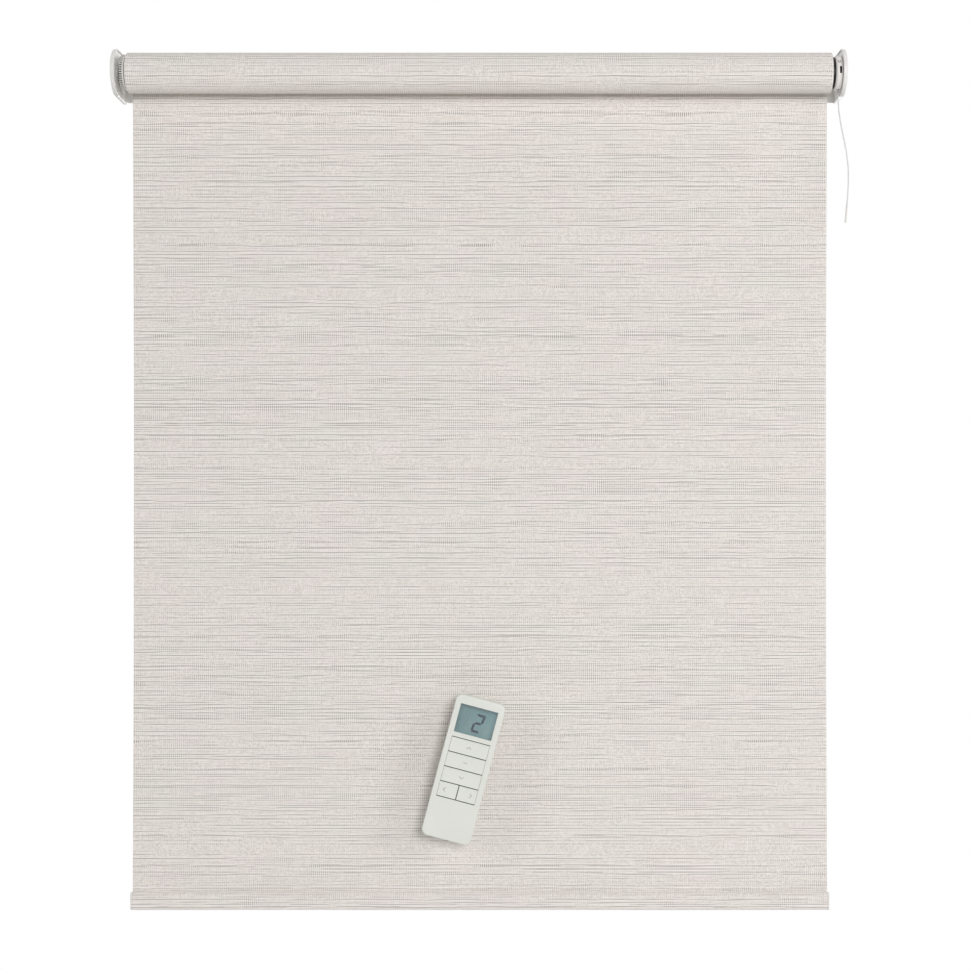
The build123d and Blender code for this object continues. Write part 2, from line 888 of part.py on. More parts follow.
def antenna_corners():
    """The bend radii: 0.45 of the shorter run over the tangent of half the turn."""
    places = [Vector(x, 0, z) for x, z in antenna_points]
    radii = []
    for before, here, after in zip(places, places[1:], places[2:]):
        turn = math.radians((here - before).get_angle(after - here))
        shorter = min((here - before).length, (after - here).length)
        radii.append(0.45 * shorter / math.tan(turn / 2))
    return places, radii


def make_antenna():
    places, radii = antenna_corners()
    path = FilletPolyline(*places, radius=radii)
    start = Plane(origin=path @ 0, z_dir=path % 0)
    wire = sweep(start * Circle(antenna_diameter / 2), path=path)
    section = math.pi * (antenna_diameter / 2) ** 2
    ratio = wire.volume / (section * path.length)
    print("antenna radii", [round(radius, 1) for radius in radii])
    print("antenna length", round(path.length, 2), "volume ratio", round(ratio, 4))
    return wire


def make_antenna_tip():
    """Heat-shrink sleeve that closes the end of the wire."""
    last = Vector(antenna_points[-1][0], 0, antenna_points[-1][1])
    before = Vector(antenna_points[-2][0], 0, antenna_points[-2][1])
    start = Plane(origin=last, z_dir=last - before)
    sleeve = extrude(start * Circle(antenna_tip_diameter / 2), antenna_tip_length)
    return chamfer(sleeve.edges(), antenna_tip_bevel)


# Hand transmitter, drawn upright about its own centre with its face towards the viewer

remote_front = -remote_depth / 2
remote_back = remote_depth / 2
remote_top = remote_length / 2
window_z = remote_top - window_from_top - window_height / 2
key_area_height = key_rows * key_pitch + key_gap
key_area_z = remote_top - keys_from_top - key_area_height / 2
front_inner = remote_front + remote_wall
key_back = remote_front + key_thickness
mat_front = key_back + key_travel + 2 * slip
board_back = mat_front + mat_thickness + board_thickness
coin_z = -remote_top + remote_wall + coin_from_edge + holder_wall + coin_diameter / 2
coin_back = remote_back - remote_wall - 2 * slip
coin_front = coin_back - coin_thickness


def remote_plane(y):
    """The plane that faces the viewer at depth y, with X to the right and Z up."""
    return Plane(origin=(0, y, 0), x_dir=(1, 0, 0), z_dir=(0, -1, 0))


def slab(outline, y_front, y_back):
    """An outline in X and Z, given thickness from front to back."""
    return extrude(remote_plane(y_back) * outline, y_back - y_front)


def remote_outline(inset):
    """The transmitter's rounded outline, drawn inwards by the inset."""
    return RectangleRounded(remote_width - 2 * inset, remote_length - 2 * inset, remote_corner - inset)


def window_outline(margin):
    return Pos(0, window_z) * Rectangle(window_width + 2 * margin, window_height + 2 * margin)


def key_area_outline(margin):
    return Pos(0, key_area_z) * Rectangle(key_area_width + 2 * margin, key_area_height + 2 * margin)


def on_remote(shape):
    """Leans the transmitter and sets it before the cloth."""
    return Pos(remote_x, -remote_forward, remote_z) * Rot(0, remote_tilt, 0) * shape


def make_front_case():
    """Front shell with the display window and the key opening."""
    shell = slab(remote_outline(0), remote_front, 0)
    shell = fillet(shell.faces().sort_by(Axis.Y)[0].edges(), remote_edge)
    shell -= slab(remote_outline(remote_wall), front_inner, 0)
    shell -= slab(window_outline(0), remote_front, front_inner)
    return shell - slab(key_area_outline(0), remote_front, front_inner)


def make_back_case():
    """Back shell, open where the battery door slides in from the lower end."""
    shell = slab(remote_outline(0), remote_seam, remote_back)
    shell = fillet(shell.faces().sort_by(Axis.Y)[-1].edges(), 2 * remote_edge)
    shell -= slab(remote_outline(remote_wall), remote_seam, remote_back - remote_wall)
    lip_inner = remote_outline(remote_wall + lip_inset)
    lip = slab(remote_outline(remote_wall + lip_gap) - lip_inner, lip_front, lip_back)
    bridge = slab(remote_outline(remote_wall - lip_overlap) - lip_inner, bridge_front, lip_back)
    low = -remote_top - door_cut_margin
    high = -remote_top + door_length + slip
    middle = Pos(0, (low + high) / 2)
    cut_front = remote_back - remote_wall - door_cut_margin
    shell -= slab(middle * Rectangle(door_width + 2 * slip, high - low), cut_front, remote_back)
    tongue_room = door_width + 2 * door_tongue + 2 * slip
    groove_back = remote_back - remote_wall + door_tongue_thickness + slip
    shell -= slab(middle * Rectangle(tongue_room, high - low), cut_front, groove_back)
    return shell + lip + bridge


def make_battery_door():
    """Sliding door with tongues along both sides and a ribbed thumb grip."""
    low = -remote_top + door_gap
    high = -remote_top + door_length
    middle = Pos(0, (low + high) / 2)
    inner = remote_back - remote_wall
    door = slab(middle * Rectangle(door_width, high - low), inner, remote_back)
    tongues = middle * Rectangle(door_width + 2 * door_tongue, high - low - door_tongue_short)
    door += slab(tongues, inner, inner + door_tongue_thickness)
    lower_edge = door.faces().sort_by(Axis.Y)[-1].edges().sort_by(Axis.Z)[0]
    door = fillet(lower_edge, door_rounding)
    for index in range(grip_count):
        groove_z = high - grip_from_top - grip_pitch * index
        groove = Pos(0, groove_z) * Rectangle(grip_length, grip_width)
        door -= slab(groove, remote_back - grip_depth, remote_back)
    return door


def key_shape(width, middle_x, row):
    """A flat key with a small rounding round its face."""
    height = key_pitch - key_gap
    middle_z = key_area_z + key_area_height / 2 - key_gap - height / 2 - row * key_pitch
    key = slab(Pos(middle_x, middle_z) * Rectangle(width, height), remote_front, key_back)
    return fillet(key.faces().sort_by(Axis.Y)[0].edges(), key_rounding)


def make_keys():
    """Three keys of full width and, under them, two of half the width."""
    full = key_area_width - 2 * key_clearance
    half = (full - key_gap) / 2
    offset_x = (half + key_gap) / 2
    return {
        "key_up": key_shape(full, 0, 0),
        "key_stop": key_shape(full, 0, 1),
        "key_down": key_shape(full, 0, 2),
        "key_left": key_shape(half, -offset_x, 3),
        "key_right": key_shape(half, offset_x, 3),
    }


def make_keypad():
    """Black rubber mat, with ribs that fill the gaps between the keys."""
    mat = slab(key_area_outline(mat_margin), mat_front, mat_front + mat_thickness)
    rib_front = remote_front + mat_rib_sink
    rib_height = key_gap - 2 * mat_rib_gap
    top = key_area_z + key_area_height / 2 - key_gap / 2
    for row in range(key_rows + 1):
        rib = Pos(0, top - row * key_pitch) * Rectangle(key_area_width - 2 * key_clearance, rib_height)
        mat += slab(rib, rib_front, mat_front)
    last_row_middle = top - (key_rows - 0.5) * key_pitch
    return mat + slab(Pos(0, last_row_middle) * Rectangle(rib_height, key_pitch), rib_front, mat_front)


def make_lens():
    front = remote_front + lens_sink
    return slab(window_outline(-slip), front, front + lens_thickness)


def make_display():
    front = front_inner + slip
    return slab(window_outline(display_margin), front, front + display_thickness)


def make_remote_board():
    """Circuit board behind the keypad, with a raised frame that carries the display."""
    board_front = mat_front + mat_thickness
    board = slab(remote_outline(remote_wall + board_margin), board_front, board_back)
    display_back = front_inner + slip + display_thickness
    frame = window_outline(0) - window_outline(-display_margin)
    return board + slab(frame, display_back + slip, board_front)


def make_coin_cell():
    """Coin cell: a wide can with a slightly smaller cap towards the board."""
    cap_back = coin_front + coin_cap_height
    can = slab(Pos(0, coin_z) * Circle(coin_diameter / 2), cap_back, coin_back)
    can = chamfer(can.faces().sort_by(Axis.Y)[-1].edges(), coin_bevel)
    return can + slab(Pos(0, coin_z) * Circle(coin_diameter / 2 - coin_cap_inset), coin_front, cap_back)


def make_cell_holder():
    """Open cup on the board, with two notches to lift the cell by."""
    outer = Circle(coin_diameter / 2 + slip + holder_wall)
    cup = slab(Pos(0, coin_z) * outer, board_back, coin_back - holder_below_cell)
    floor_back = coin_front - contact_thickness - 2 * slip
    cup -= slab(Pos(0, coin_z) * Circle(coin_diameter / 2 + slip), floor_back, coin_back)
    for side in (-1, 1):
        notch = Pos(side * coin_diameter / 2, coin_z) * Rectangle(holder_notch_width, holder_notch_height)
        cup -= slab(notch, floor_back + holder_notch_sink, coin_back)
    return cup


def make_battery_contact():
    """Three-fingered spring contact under the cell."""
    back = coin_front - slip
    finger = Pos(finger_middle, 0) * Rectangle(finger_length, finger_width)
    star = Circle(contact_disc_diameter / 2)
    for index in range(finger_count):
        star += Rot(0, 0, 360 * (index + finger_count / 4) / finger_count) * finger
    return slab(Pos(0, coin_z) * star, back - contact_thickness, back)


def write_remote():
    write("remote_front_case", on_remote(make_front_case()))
    write("remote_back_case", on_remote(make_back_case()))
    write("battery_door", on_remote(make_battery_door()))
    for name, key in make_keys().items():
        write(name, on_remote(key))
    write("remote_keypad", on_remote(make_keypad()))
    write("remote_lens", on_remote(make_lens()))
    write("remote_display", on_remote(make_display()))
    write("remote_board", on_remote(make_remote_board()))
    write("coin_cell", on_remote(make_coin_cell()))
    write("cell_holder", on_remote(make_cell_holder()))
    write("battery_contact", on_remote(make_battery_contact()))


def write_roller():
    write("roller_tube", make_tube())
    write("cloth_spline", make_spline())
    write("cloth_roll", make_roll())
    write("crown_ring", make_crown())
    write("drive_wheel", make_drive_wheel())
    write("planet_carrier", make_carrier())
    write("shaft_clip", make_shaft_clip())
    write("idle_plug", make_idle_plug())
    write("thumbwheel", make_thumbwheel())
    write("idle_pin", make_idle_pin())


def write_motor():
    write("head_base", make_head_base())
    write("motor_head", make_motor_head())
    write("head_clip", make_head_clip())
    write("set_button", make_set_button())
    write("set_switch", make_set_switch())
    write("control_board", make_control_board())
    write("charging_port", make_port())
    write("motor_casing", make_casing())
    write("cell_sleeve", make_cell_sleeve())
    write("battery_cells", make_cells())
    write("dc_motor", make_dc_motor())
    write("gear_cartridge", make_cartridge())
    write("ring_gear", make_ring_gear())
    write("sun_gear", make_sun())
    for index in range(planet_count):
        write(f"planet_gear_{index + 1}", make_planet(index))
    write("output_bearing", make_bearing())
    write("antenna_wire", make_antenna())
    write("antenna_tip", make_antenna_tip())


def write_brackets():
    hole_side = spigot_side + 2 * slip
    square_hole = RectangleRounded(hole_side, hole_side, spigot_corner)
    round_hole = Circle(bush_neck_diameter / 2 + slip / 2)
    write("motor_bracket", bracket(square_hole))
    write("idle_bracket", mirror(bracket(round_hole), about=Plane.YZ))
    write("motor_cover", cover())
    write("idle_cover", mirror(cover(), about=Plane.YZ))
    write("pin_bush", make_pin_bush())


def write_cloth():
    write("cloth_sheet", make_sheet())
    write("hem_pocket", make_hem())
    write("bottom_bar", make_bar())
    write("left_bar_cap", make_bar_cap(-1))
    write("right_bar_cap", make_bar_cap(1))


write_brackets()
write_motor()
write_roller()
write_cloth()
write_remote()
print("planet orbit", planet_orbit, "casing", round(casing_start, 1), "to", round(casing_end, 1))
print("weld top", weld_top, "roll radius", roll_radius)
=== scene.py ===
# %% [markdown]
# A roller blind with a motor in its tube, dressed in Blender.
# The CAD model comes in first, as a fixed frame: every bracket, shell, gear and key already stands where
# the real one does. This file gives each of them a finish, and swaps the cloth, the hem and the antenna
# wire for finer ones, because cloth and wire are what CAD solids show worst.
# All lengths are in metres. X runs along the tube, Y goes into the wall and Z points up.

# %% Open the frame
import json
import math

import bmesh
import bpy
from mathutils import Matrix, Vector


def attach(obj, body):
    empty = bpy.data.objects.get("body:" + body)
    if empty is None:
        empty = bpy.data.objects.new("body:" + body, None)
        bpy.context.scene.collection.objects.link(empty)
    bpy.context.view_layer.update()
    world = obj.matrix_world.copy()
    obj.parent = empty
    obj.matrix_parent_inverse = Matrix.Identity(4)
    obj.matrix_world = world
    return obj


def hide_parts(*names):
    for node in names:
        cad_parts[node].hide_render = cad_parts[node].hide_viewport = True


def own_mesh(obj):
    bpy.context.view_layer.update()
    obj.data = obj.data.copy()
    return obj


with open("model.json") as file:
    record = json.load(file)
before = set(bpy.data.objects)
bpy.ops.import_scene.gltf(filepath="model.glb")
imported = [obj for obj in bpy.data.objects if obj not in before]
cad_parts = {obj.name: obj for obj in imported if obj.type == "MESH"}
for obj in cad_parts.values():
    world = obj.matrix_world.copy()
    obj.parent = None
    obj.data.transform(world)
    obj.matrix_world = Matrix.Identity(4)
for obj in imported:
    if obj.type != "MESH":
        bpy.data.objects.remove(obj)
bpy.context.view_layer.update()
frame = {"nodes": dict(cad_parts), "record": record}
nodes = frame["nodes"]
mm = 0.001

# %% [markdown]
# The camera stands where the photographer stood: level, about 1.8 m in front of the cloth and 0.4 m
# below the tube, a little to the right of the middle. A level camera keeps the side edges of the cloth
# upright. The small sideways shift puts the blind left of the middle of the frame, as in the photograph,
# and it does so without turning the camera, which would make the two ends differ in size.

# %% Camera
camera_data = bpy.data.cameras.new("photo_camera")
camera_data.lens = 65.2
camera_data.sensor_width = 36
camera_data.shift_x = -0.0361
camera_data.clip_start = 0.01
camera = bpy.data.objects.new("photo_camera", camera_data)
camera.location = (0.0405, -1.787, -0.4103)
camera.rotation_euler = (math.pi / 2, 0, 0)
bpy.context.scene.collection.objects.link(camera)
bpy.context.scene.camera = camera
print("camera", tuple(round(value, 4) for value in camera.location))

# %% [markdown]
# The antenna is a thin white wire that leaves the underside of the motor head and hangs free, with a
# short sleeve on its end. A wire is best made as a curve with a round bevel: a few points give its path,
# and a NURBS spline turns them into one smooth line, as stiff wire bends. The points are the corners of
# the same route as in the CAD model, so the wire hangs where its solid does.

# %% Antenna wire
tube_axis = -36 * mm
wire_radius = 0.7 * mm
wire_corners = [
    (358.0, -16.45),
    (357.2, -31.0),
    (361.0, -55.0),
    (367.0, -83.0),
    (368.4, -108.0),
    (366.4, -131.0),
]

wire_curve = bpy.data.curves.new("antenna_lead", "CURVE")
wire_curve.dimensions = "3D"
wire_curve.bevel_depth = 1.0
wire_curve.bevel_resolution = 5
wire_curve.resolution_u = 24
wire_curve.use_fill_caps = True
wire_line = wire_curve.splines.new("NURBS")
wire_line.points.add(len(wire_corners) - 1)
for point, (x, z) in zip(wire_line.points, wire_corners):
    point.co = (x * mm, tube_axis, z * mm, 1)
    point.radius = wire_radius
wire_line.order_u = 3
wire_line.use_endpoint_u = True
antenna = bpy.data.objects.new("antenna_lead", wire_curve)
bpy.context.scene.collection.objects.link(antenna)
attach(antenna, "mounting")
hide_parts("antenna_wire")
print("antenna corners", len(wire_corners))

# %% [markdown]
# The room is plain: a pale floor far below, a white surround and large soft lamps, as in a product
# photograph. The surround is white only for the camera, for reflections and for what shows through
# glass. For the light that falls on the blind it is a dark grey, and the lamps add the rest, so a colour
# renders about as it is written and the forms still get a bright side and a soft shade.

# %% Surround
ambient_level = 0.225
world = bpy.data.worlds.new("surround")
bpy.context.scene.world = world
world.use_nodes = True
sky = world.node_tree
sky.nodes.clear()
rays = sky.nodes.new("ShaderNodeLightPath")
seen = sky.nodes.new("ShaderNodeMath")
seen.operation = "ADD"
sky.links.new(rays.outputs["Is Camera Ray"], seen.inputs[0])
sky.links.new(rays.outputs["Is Glossy Ray"], seen.inputs[1])
seen_or_through = sky.nodes.new("ShaderNodeMath")
seen_or_through.operation = "ADD"
seen_or_through.use_clamp = True
sky.links.new(seen.outputs[0], seen_or_through.inputs[0])
sky.links.new(rays.outputs["Is Transmission Ray"], seen_or_through.inputs[1])


def white_light(strength):
    """Light without colour from all sides; a strength of 1 is white."""
    light = sky.nodes.new("ShaderNodeBackground")
    light.inputs["Color"].default_value = (1, 1, 1, 1)
    light.inputs["Strength"].default_value = strength
    return light.outputs[0]


choose = sky.nodes.new("ShaderNodeMixShader")
sky.links.new(seen_or_through.outputs[0], choose.inputs[0])
sky.links.new(white_light(ambient_level), choose.inputs[1])
sky.links.new(white_light(1.0), choose.inputs[2])
surround_out = sky.nodes.new("ShaderNodeOutputWorld")
sky.links.new(choose.outputs[0], surround_out.inputs["Surface"])
print("surround strength on the object", ambient_level)

# %% [markdown]
# A lamp with a large face throws a soft shadow. The front is lit by a key lamp behind the camera and by a
# fill on each side, which leaves the cloth just below the roll in a soft shade. One more lamp stands
# above, one at each end of the tube and one behind, because the part is looked at from all sides.

# %% Lamps
blind_middle = Vector((0.0, -0.02, -0.42))


def add_lamp(name, place, size, power):
    """A square soft lamp that faces the middle of the blind."""
    data = bpy.data.lights.new(name, "AREA")
    data.size = size
    data.energy = power
    lamp = bpy.data.objects.new(name, data)
    lamp.location = place
    lamp.rotation_euler = (blind_middle - Vector(place)).to_track_quat("-Z", "Y").to_euler()
    bpy.context.scene.collection.objects.link(lamp)


add_lamp("key_lamp", (0.8, -2.95, 0.12), 0.8, 42)
add_lamp("left_fill", (-2.4, -1.6, 0.2), 1.0, 17)
add_lamp("right_fill", (2.4, -1.6, 0.2), 1.0, 19)
add_lamp("top_lamp", (0.0, 0.1, 2.6), 1.4, 14)
add_lamp("left_lamp", (-2.9, 0.3, -0.1), 1.2, 15)
add_lamp("right_lamp", (2.9, 0.3, -0.1), 1.2, 15)
add_lamp("back_lamp", (0.3, 3.0, -0.1), 1.4, 44)
print("lamps", [lamp.name for lamp in bpy.data.lights])

# %% [markdown]
# The floor is a wide disc well below the bar, because a blind hangs from a wall and touches no floor.
# Forms are built with bmesh, Blender's mesh editor for scripts, and a small helper turns each finished
# form into a piece in the scene.

# %% Floor
floor_level = -1.5
floor_radius = 2.0


def piece_from(name, form):
    """Turns a finished bmesh form into a piece in the scene."""
    mesh = bpy.data.meshes.new(name)
    form.to_mesh(mesh)
    form.free()
    piece = bpy.data.objects.new(name, mesh)
    bpy.context.scene.collection.objects.link(piece)
    return piece


floor_form = bmesh.new()
bmesh.ops.create_circle(floor_form, cap_ends=True, radius=floor_radius, segments=128)
bmesh.ops.translate(floor_form, verts=floor_form.verts, vec=(0, 0, floor_level))
floor = piece_from("pale_floor", floor_form)
print("floor at", floor_level)

# %% [markdown]
# A paint chart gives a colour as three numbers from 0 to 255, but Blender reckons with amounts of light,
# so each number is turned into its linear value first. Most finishes then need the same colour a little
# darker or lighter, which is a plain multiplication.

# %% Colours


def colour(red, green, blue):
    """A colour as a paint chart gives it, from 0 to 255, turned into Blender's linear values."""
    parts = []
    for level in (red, green, blue):
        share = level / 255
        parts.append(share / 12.92 if share <= 0.04045 else ((share + 0.055) / 1.055) ** 2.4)
    return (parts[0], parts[1], parts[2], 1.0)


def shade(paint, share):
    """The same colour, darker or lighter by a share."""
    return (paint[0] * share, paint[1] * share, paint[2] * share, 1.0)


print("a warm white as linear light", tuple(round(value, 3) for value in colour(218, 212, 207)))

# %% [markdown]
# Each finish below is a small tree of nodes. Most of them start the same way: a Principled shader, and
# textures that read the object's own coordinates, so the grain stays on a piece when it moves. A noise
# texture gives the unevenness, and a colour ramp turns it into nearly equal colours.

# %% Start of a finish


def start_finish(name):
    """A new material, its tree of nodes and its shader."""
    material = bpy.data.materials.new(name)
    material.use_nodes = True
    tree = material.node_tree
    return material, tree, tree.nodes["Principled BSDF"]


def object_place(tree, stretch=(1, 1, 1)):
    """The piece's own coordinates, scaled along each axis."""
    place = tree.nodes.new("ShaderNodeTexCoord")
    mapping = tree.nodes.new("ShaderNodeMapping")
    mapping.inputs["Scale"].default_value = stretch
    tree.links.new(place.outputs["Object"], mapping.inputs["Vector"])
    return mapping.outputs[0]


def noise(tree, place, scale, detail):
    """Soft random patches: scale is how many go into a metre, and detail adds finer ones."""
    texture = tree.nodes.new("ShaderNodeTexNoise")
    texture.inputs["Scale"].default_value = scale
    texture.inputs["Detail"].default_value = detail
    tree.links.new(place, texture.inputs["Vector"])
    return texture.outputs[0]


def ramp(tree, factor, stops):
    """Colours along a scale from 0 to 1."""
    band = tree.nodes.new("ShaderNodeValToRGB")
    scale = band.color_ramp.elements
    while len(scale) < len(stops):
        scale.new(0.5)
    for mark, (place, paint) in zip(scale, stops):
        mark.position = place
        mark.color = paint
    tree.links.new(factor, band.inputs[0])
    return band.outputs[0]


print("materials so far", len(bpy.data.materials))

# %% [markdown]
# Where a finish depends on a place, its nodes do sums. A node's input takes either another node's output
# or a plain number, and these helpers accept both, so a sum is written in one line.

# %% Sums on a surface


def fill(tree, slot, value):
    """Gives an input its value, which is another node's output or a plain one."""
    if isinstance(value, bpy.types.NodeSocket):
        tree.links.new(value, slot)
    else:
        slot.default_value = value


def reckon(tree, operation, first, second=0.0):
    """One sum, with sockets or plain numbers."""
    node = tree.nodes.new("ShaderNodeMath")
    node.operation = operation
    fill(tree, node.inputs[0], first)
    fill(tree, node.inputs[1], second)
    return node.outputs[0]


def plus_share(tree, level, value, share):
    """The level plus a share of the value; a share below nought takes away."""
    return reckon(tree, "ADD", level, reckon(tree, "MULTIPLY", value, share))


def between(tree, factor, low, high):
    """A number from 0 to 1 turned into one from low to high."""
    span = tree.nodes.new("ShaderNodeMapRange")
    span.inputs["To Min"].default_value = low
    span.inputs["To Max"].default_value = high
    tree.links.new(factor, span.inputs["Value"])
    return span.outputs[0]


def share_between(tree, value, none, full):
    """Nought at the first value and one at the second, and held beyond both."""
    share = tree.nodes.new("ShaderNodeMapRange")
    share.inputs["From Min"].default_value = none
    share.inputs["From Max"].default_value = full
    tree.links.new(value, share.inputs["Value"])
    return share.outputs[0]


def split_axes(tree, place):
    """The X, Y and Z of a place."""
    split = tree.nodes.new("ShaderNodeSeparateXYZ")
    tree.links.new(place, split.inputs[0])
    return split.outputs["X"], split.outputs["Y"], split.outputs["Z"]


print("sums with", reckon.__name__, "and", plus_share.__name__)

# %% [markdown]
# The last two helpers blend two colours, and turn a texture into very shallow relief with a bump node.
# Bump only tilts the light on a surface, so it is right for grain that is finer than any mesh.

# %% Blended colours and relief


def mixed(tree, blend, amount, first, second):
    """Two colours blended by an amount. A Mix node's colours are its inputs 6 and 7 and its output 2."""
    mix = tree.nodes.new("ShaderNodeMix")
    mix.data_type = "RGBA"
    mix.blend_type = blend
    fill(tree, mix.inputs[0], amount)
    fill(tree, mix.inputs[6], first)
    fill(tree, mix.inputs[7], second)
    return mix.outputs[2]


def relief(tree, shader, height, depth, strength):
    """Shallow relief: depth is how deep the texture would be, in metres."""
    bump = tree.nodes.new("ShaderNodeBump")
    bump.inputs["Strength"].default_value = strength
    bump.inputs["Distance"].default_value = depth
    tree.links.new(height, bump.inputs["Height"])
    tree.links.new(bump.outputs[0], shader.inputs["Normal"])


print("blends with", mixed.__name__, "and bumps with", relief.__name__)

# %% [markdown]
# Two helpers do most of the hard pieces. Moulded plastic comes out of a tool that is etched or ground,
# so it has a fine pebble grain and a faint cloudiness. Drawn or turned metal has fine lines in the
# direction in which it was worked, and its gloss changes with them. All finishes are kept by name, and
# each name is a material slot of the record, so that every piece can find its own later.

# %% Moulded plastic and worked metal


def moulded_plastic(name, paint, gloss_low, gloss_high, grain=0.5 * mm):
    """grain is the size of the pebbles that the tool's etched face leaves."""
    material, tree, shader = start_finish(name)
    place = object_place(tree)
    cloud = noise(tree, place, 28, 3)
    tones = ((0.3, shade(paint, 0.975)), (0.7, shade(paint, 1.015)))
    tree.links.new(ramp(tree, cloud, tones), shader.inputs["Base Color"])
    pebble = noise(tree, place, 1 / grain, 2)
    tree.links.new(between(tree, pebble, gloss_low, gloss_high), shader.inputs["Roughness"])
    relief(tree, shader, pebble, 0.012 * mm, 0.6)
    return material


def worked_metal(name, paint, gloss_low, gloss_high, lines):
    """lines are the grain's scales along X, Y and Z: small along the direction of work."""
    material, tree, shader = start_finish(name)
    shader.inputs["Metallic"].default_value = 1.0
    streak = noise(tree, object_place(tree, lines), 1.0, 3)
    tones = ((0.3, shade(paint, 0.86)), (0.7, shade(paint, 1.06)))
    tree.links.new(ramp(tree, streak, tones), shader.inputs["Base Color"])
    tree.links.new(between(tree, streak, gloss_low, gloss_high), shader.inputs["Roughness"])
    relief(tree, shader, streak, 0.006 * mm, 0.5)
    return material


finishes = {}


def make_finishes(helper, settings):
    """Makes one finish for each name, with a helper and the settings that belong to it."""
    for name, values in settings.items():
        finishes[name] = helper(name, *values)
    print("finishes so far", len(finishes))


print("finishes so far", len(finishes))

# %% [markdown]
# The brackets are pressed steel with a baked powder coat. Powder melts into a skin with a soft
# orange-peel of about two millimetres and a satin gloss, so this finish is a wide, very shallow bump
# over white paint, with a second, finer one for the dust in it.

# %% Powder coat of the brackets


def powder_coat(name, paint):
    material, tree, shader = start_finish(name)
    place = object_place(tree)
    peel = noise(tree, place, 520, 1)
    dust = noise(tree, place, 2600, 2)
    height = plus_share(tree, peel, dust, 0.3)
    tones = ((0.25, shade(paint, 0.97)), (0.75, shade(paint, 1.01)))
    tree.links.new(ramp(tree, noise(tree, place, 35, 2), tones), shader.inputs["Base Color"])
    tree.links.new(between(tree, dust, 0.30, 0.44), shader.inputs["Roughness"])
    relief(tree, shader, height, 0.02 * mm, 0.7)
    return material


finishes["bracket_paint"] = powder_coat("bracket_paint", colour(240, 239, 236))
print("finishes so far", len(finishes))

# %% [markdown]
# The white plastics differ a little, as they do on the real blind: the covers, the thumbwheel and the bar
# caps are a soft white, the motor head is the brightest of them, and the transmitter is a cool, matt
# off-white. Small differences like these make an assembly look like one made of separate mouldings.

# %% White plastics
remote_grain = 0.4 * mm
white_plastics = {
    "cover_plastic": (colour(224, 223, 220), 0.34, 0.48),
    "head_plastic": (colour(243, 240, 236), 0.38, 0.52),
    "button_plastic": (colour(238, 235, 231), 0.40, 0.52),
    "wheel_plastic": (colour(222, 219, 214), 0.34, 0.48),
    "cap_plastic": (colour(216, 213, 208), 0.40, 0.54),
    "remote_shell": (colour(219, 221, 214), 0.42, 0.58, remote_grain),
    "remote_keys": (colour(219, 221, 214), 0.44, 0.60, remote_grain),
}
make_finishes(moulded_plastic, white_plastics)

# %% [markdown]
# A recess in a white moulding lies in shade, and here that shade is painted into the colour. This helper
# lets a finish turn grey towards the tube's axis, as painted shade: it works out how far each place is
# from that axis and darkens what lies deep. The notches of the thumbwheel get it, and so do the slot round
# the set button and the walls of the port in the motor head.

# %% Painted shade in recesses
wheel_ends = (-355.3 * mm, -353.0 * mm)
wheel_radii = (16.0 * mm, 16.8 * mm, 18.1 * mm)
wheel_shade_share = 0.06
head_ends = (355.0 * mm, 359.0 * mm)
head_radii = (0.0, 16.1 * mm, 16.7 * mm)
head_shade_share = 0.04


def paint_recess_shade(finish, ends, radii, share):
    """Paints shade into the colour between two ends on the tube; the radii are the least, the shadiest and
    the unshaded.
    """
    tree = finishes[finish].node_tree
    shader = tree.nodes["Principled BSDF"]
    paint = shader.inputs["Base Color"].links[0].from_socket
    x, y, z = split_axes(tree, object_place(tree))
    ahead = reckon(tree, "SUBTRACT", y, tube_axis)
    ahead_square = reckon(tree, "MULTIPLY", ahead, ahead)
    upright_square = reckon(tree, "MULTIPLY", z, z)
    radius = reckon(tree, "SQRT", reckon(tree, "ADD", ahead_square, upright_square))
    least, shadiest, unshaded = radii
    after = reckon(tree, "GREATER_THAN", x, ends[0])
    before = reckon(tree, "LESS_THAN", x, ends[1])
    there = reckon(tree, "MULTIPLY", after, before)
    there = reckon(tree, "MULTIPLY", there, reckon(tree, "GREATER_THAN", radius, least))
    amount = reckon(tree, "MULTIPLY", share_between(tree, radius, unshaded, shadiest), there)
    # Painted shade: the deep places get the paint multiplied by a grey.
    painted_shade = mixed(tree, "MULTIPLY", amount, paint, (share, share, share, 1.0))
    tree.links.new(painted_shade, shader.inputs["Base Color"])


# Painted shade in the notches of the thumbwheel, and in the slots and the port of the motor head.
paint_recess_shade("wheel_plastic", wheel_ends, wheel_radii, wheel_shade_share)
for finish in ("head_plastic", "button_plastic"):
    paint_recess_shade(finish, head_ends, head_radii, head_shade_share)
print("grey of the notches and the slots", wheel_shade_share, head_shade_share)

# %% [markdown]
# Black and grey plastics are the working mouldings: the crown and the drive wheel are black acetal with
# a slight sheen, the plugs and bushes are pale grey nylon. The ring of the last gear stage is a cream
# acetal. The rubber sheet under the keys is black and nearly without gloss. A low specular level keeps
# the white surround from greying the black crown.

# %% Black, grey and cream plastics
fine_grain = 0.3 * mm
other_plastics = {
    "black_plastic": (colour(17, 16, 16), 0.30, 0.46),
    "holder_black": (colour(26, 26, 27), 0.42, 0.58),
    "keypad_rubber": (colour(14, 14, 15), 0.70, 0.86, fine_grain),
    "grey_plastic": (colour(205, 205, 203), 0.40, 0.56),
    "ring_acetal": (colour(226, 220, 204), 0.30, 0.42),
    "tip_grey": (colour(212, 210, 205), 0.36, 0.50, fine_grain),
    "wire_white": (colour(208, 209, 211), 0.36, 0.50, fine_grain),
}
make_finishes(moulded_plastic, other_plastics)
black_shader = finishes["black_plastic"].node_tree.nodes["Principled BSDF"]
black_shader.inputs["Specular IOR Level"].default_value = 0.25

# %% [markdown]
# The metals are told apart by the direction of their lines. The tube and the bottom bar are extruded,
# so their lines run along X. Turned and pressed pieces have shorter, more even lines. The casing of the
# motor is drawn steel with a duller coat of zinc.

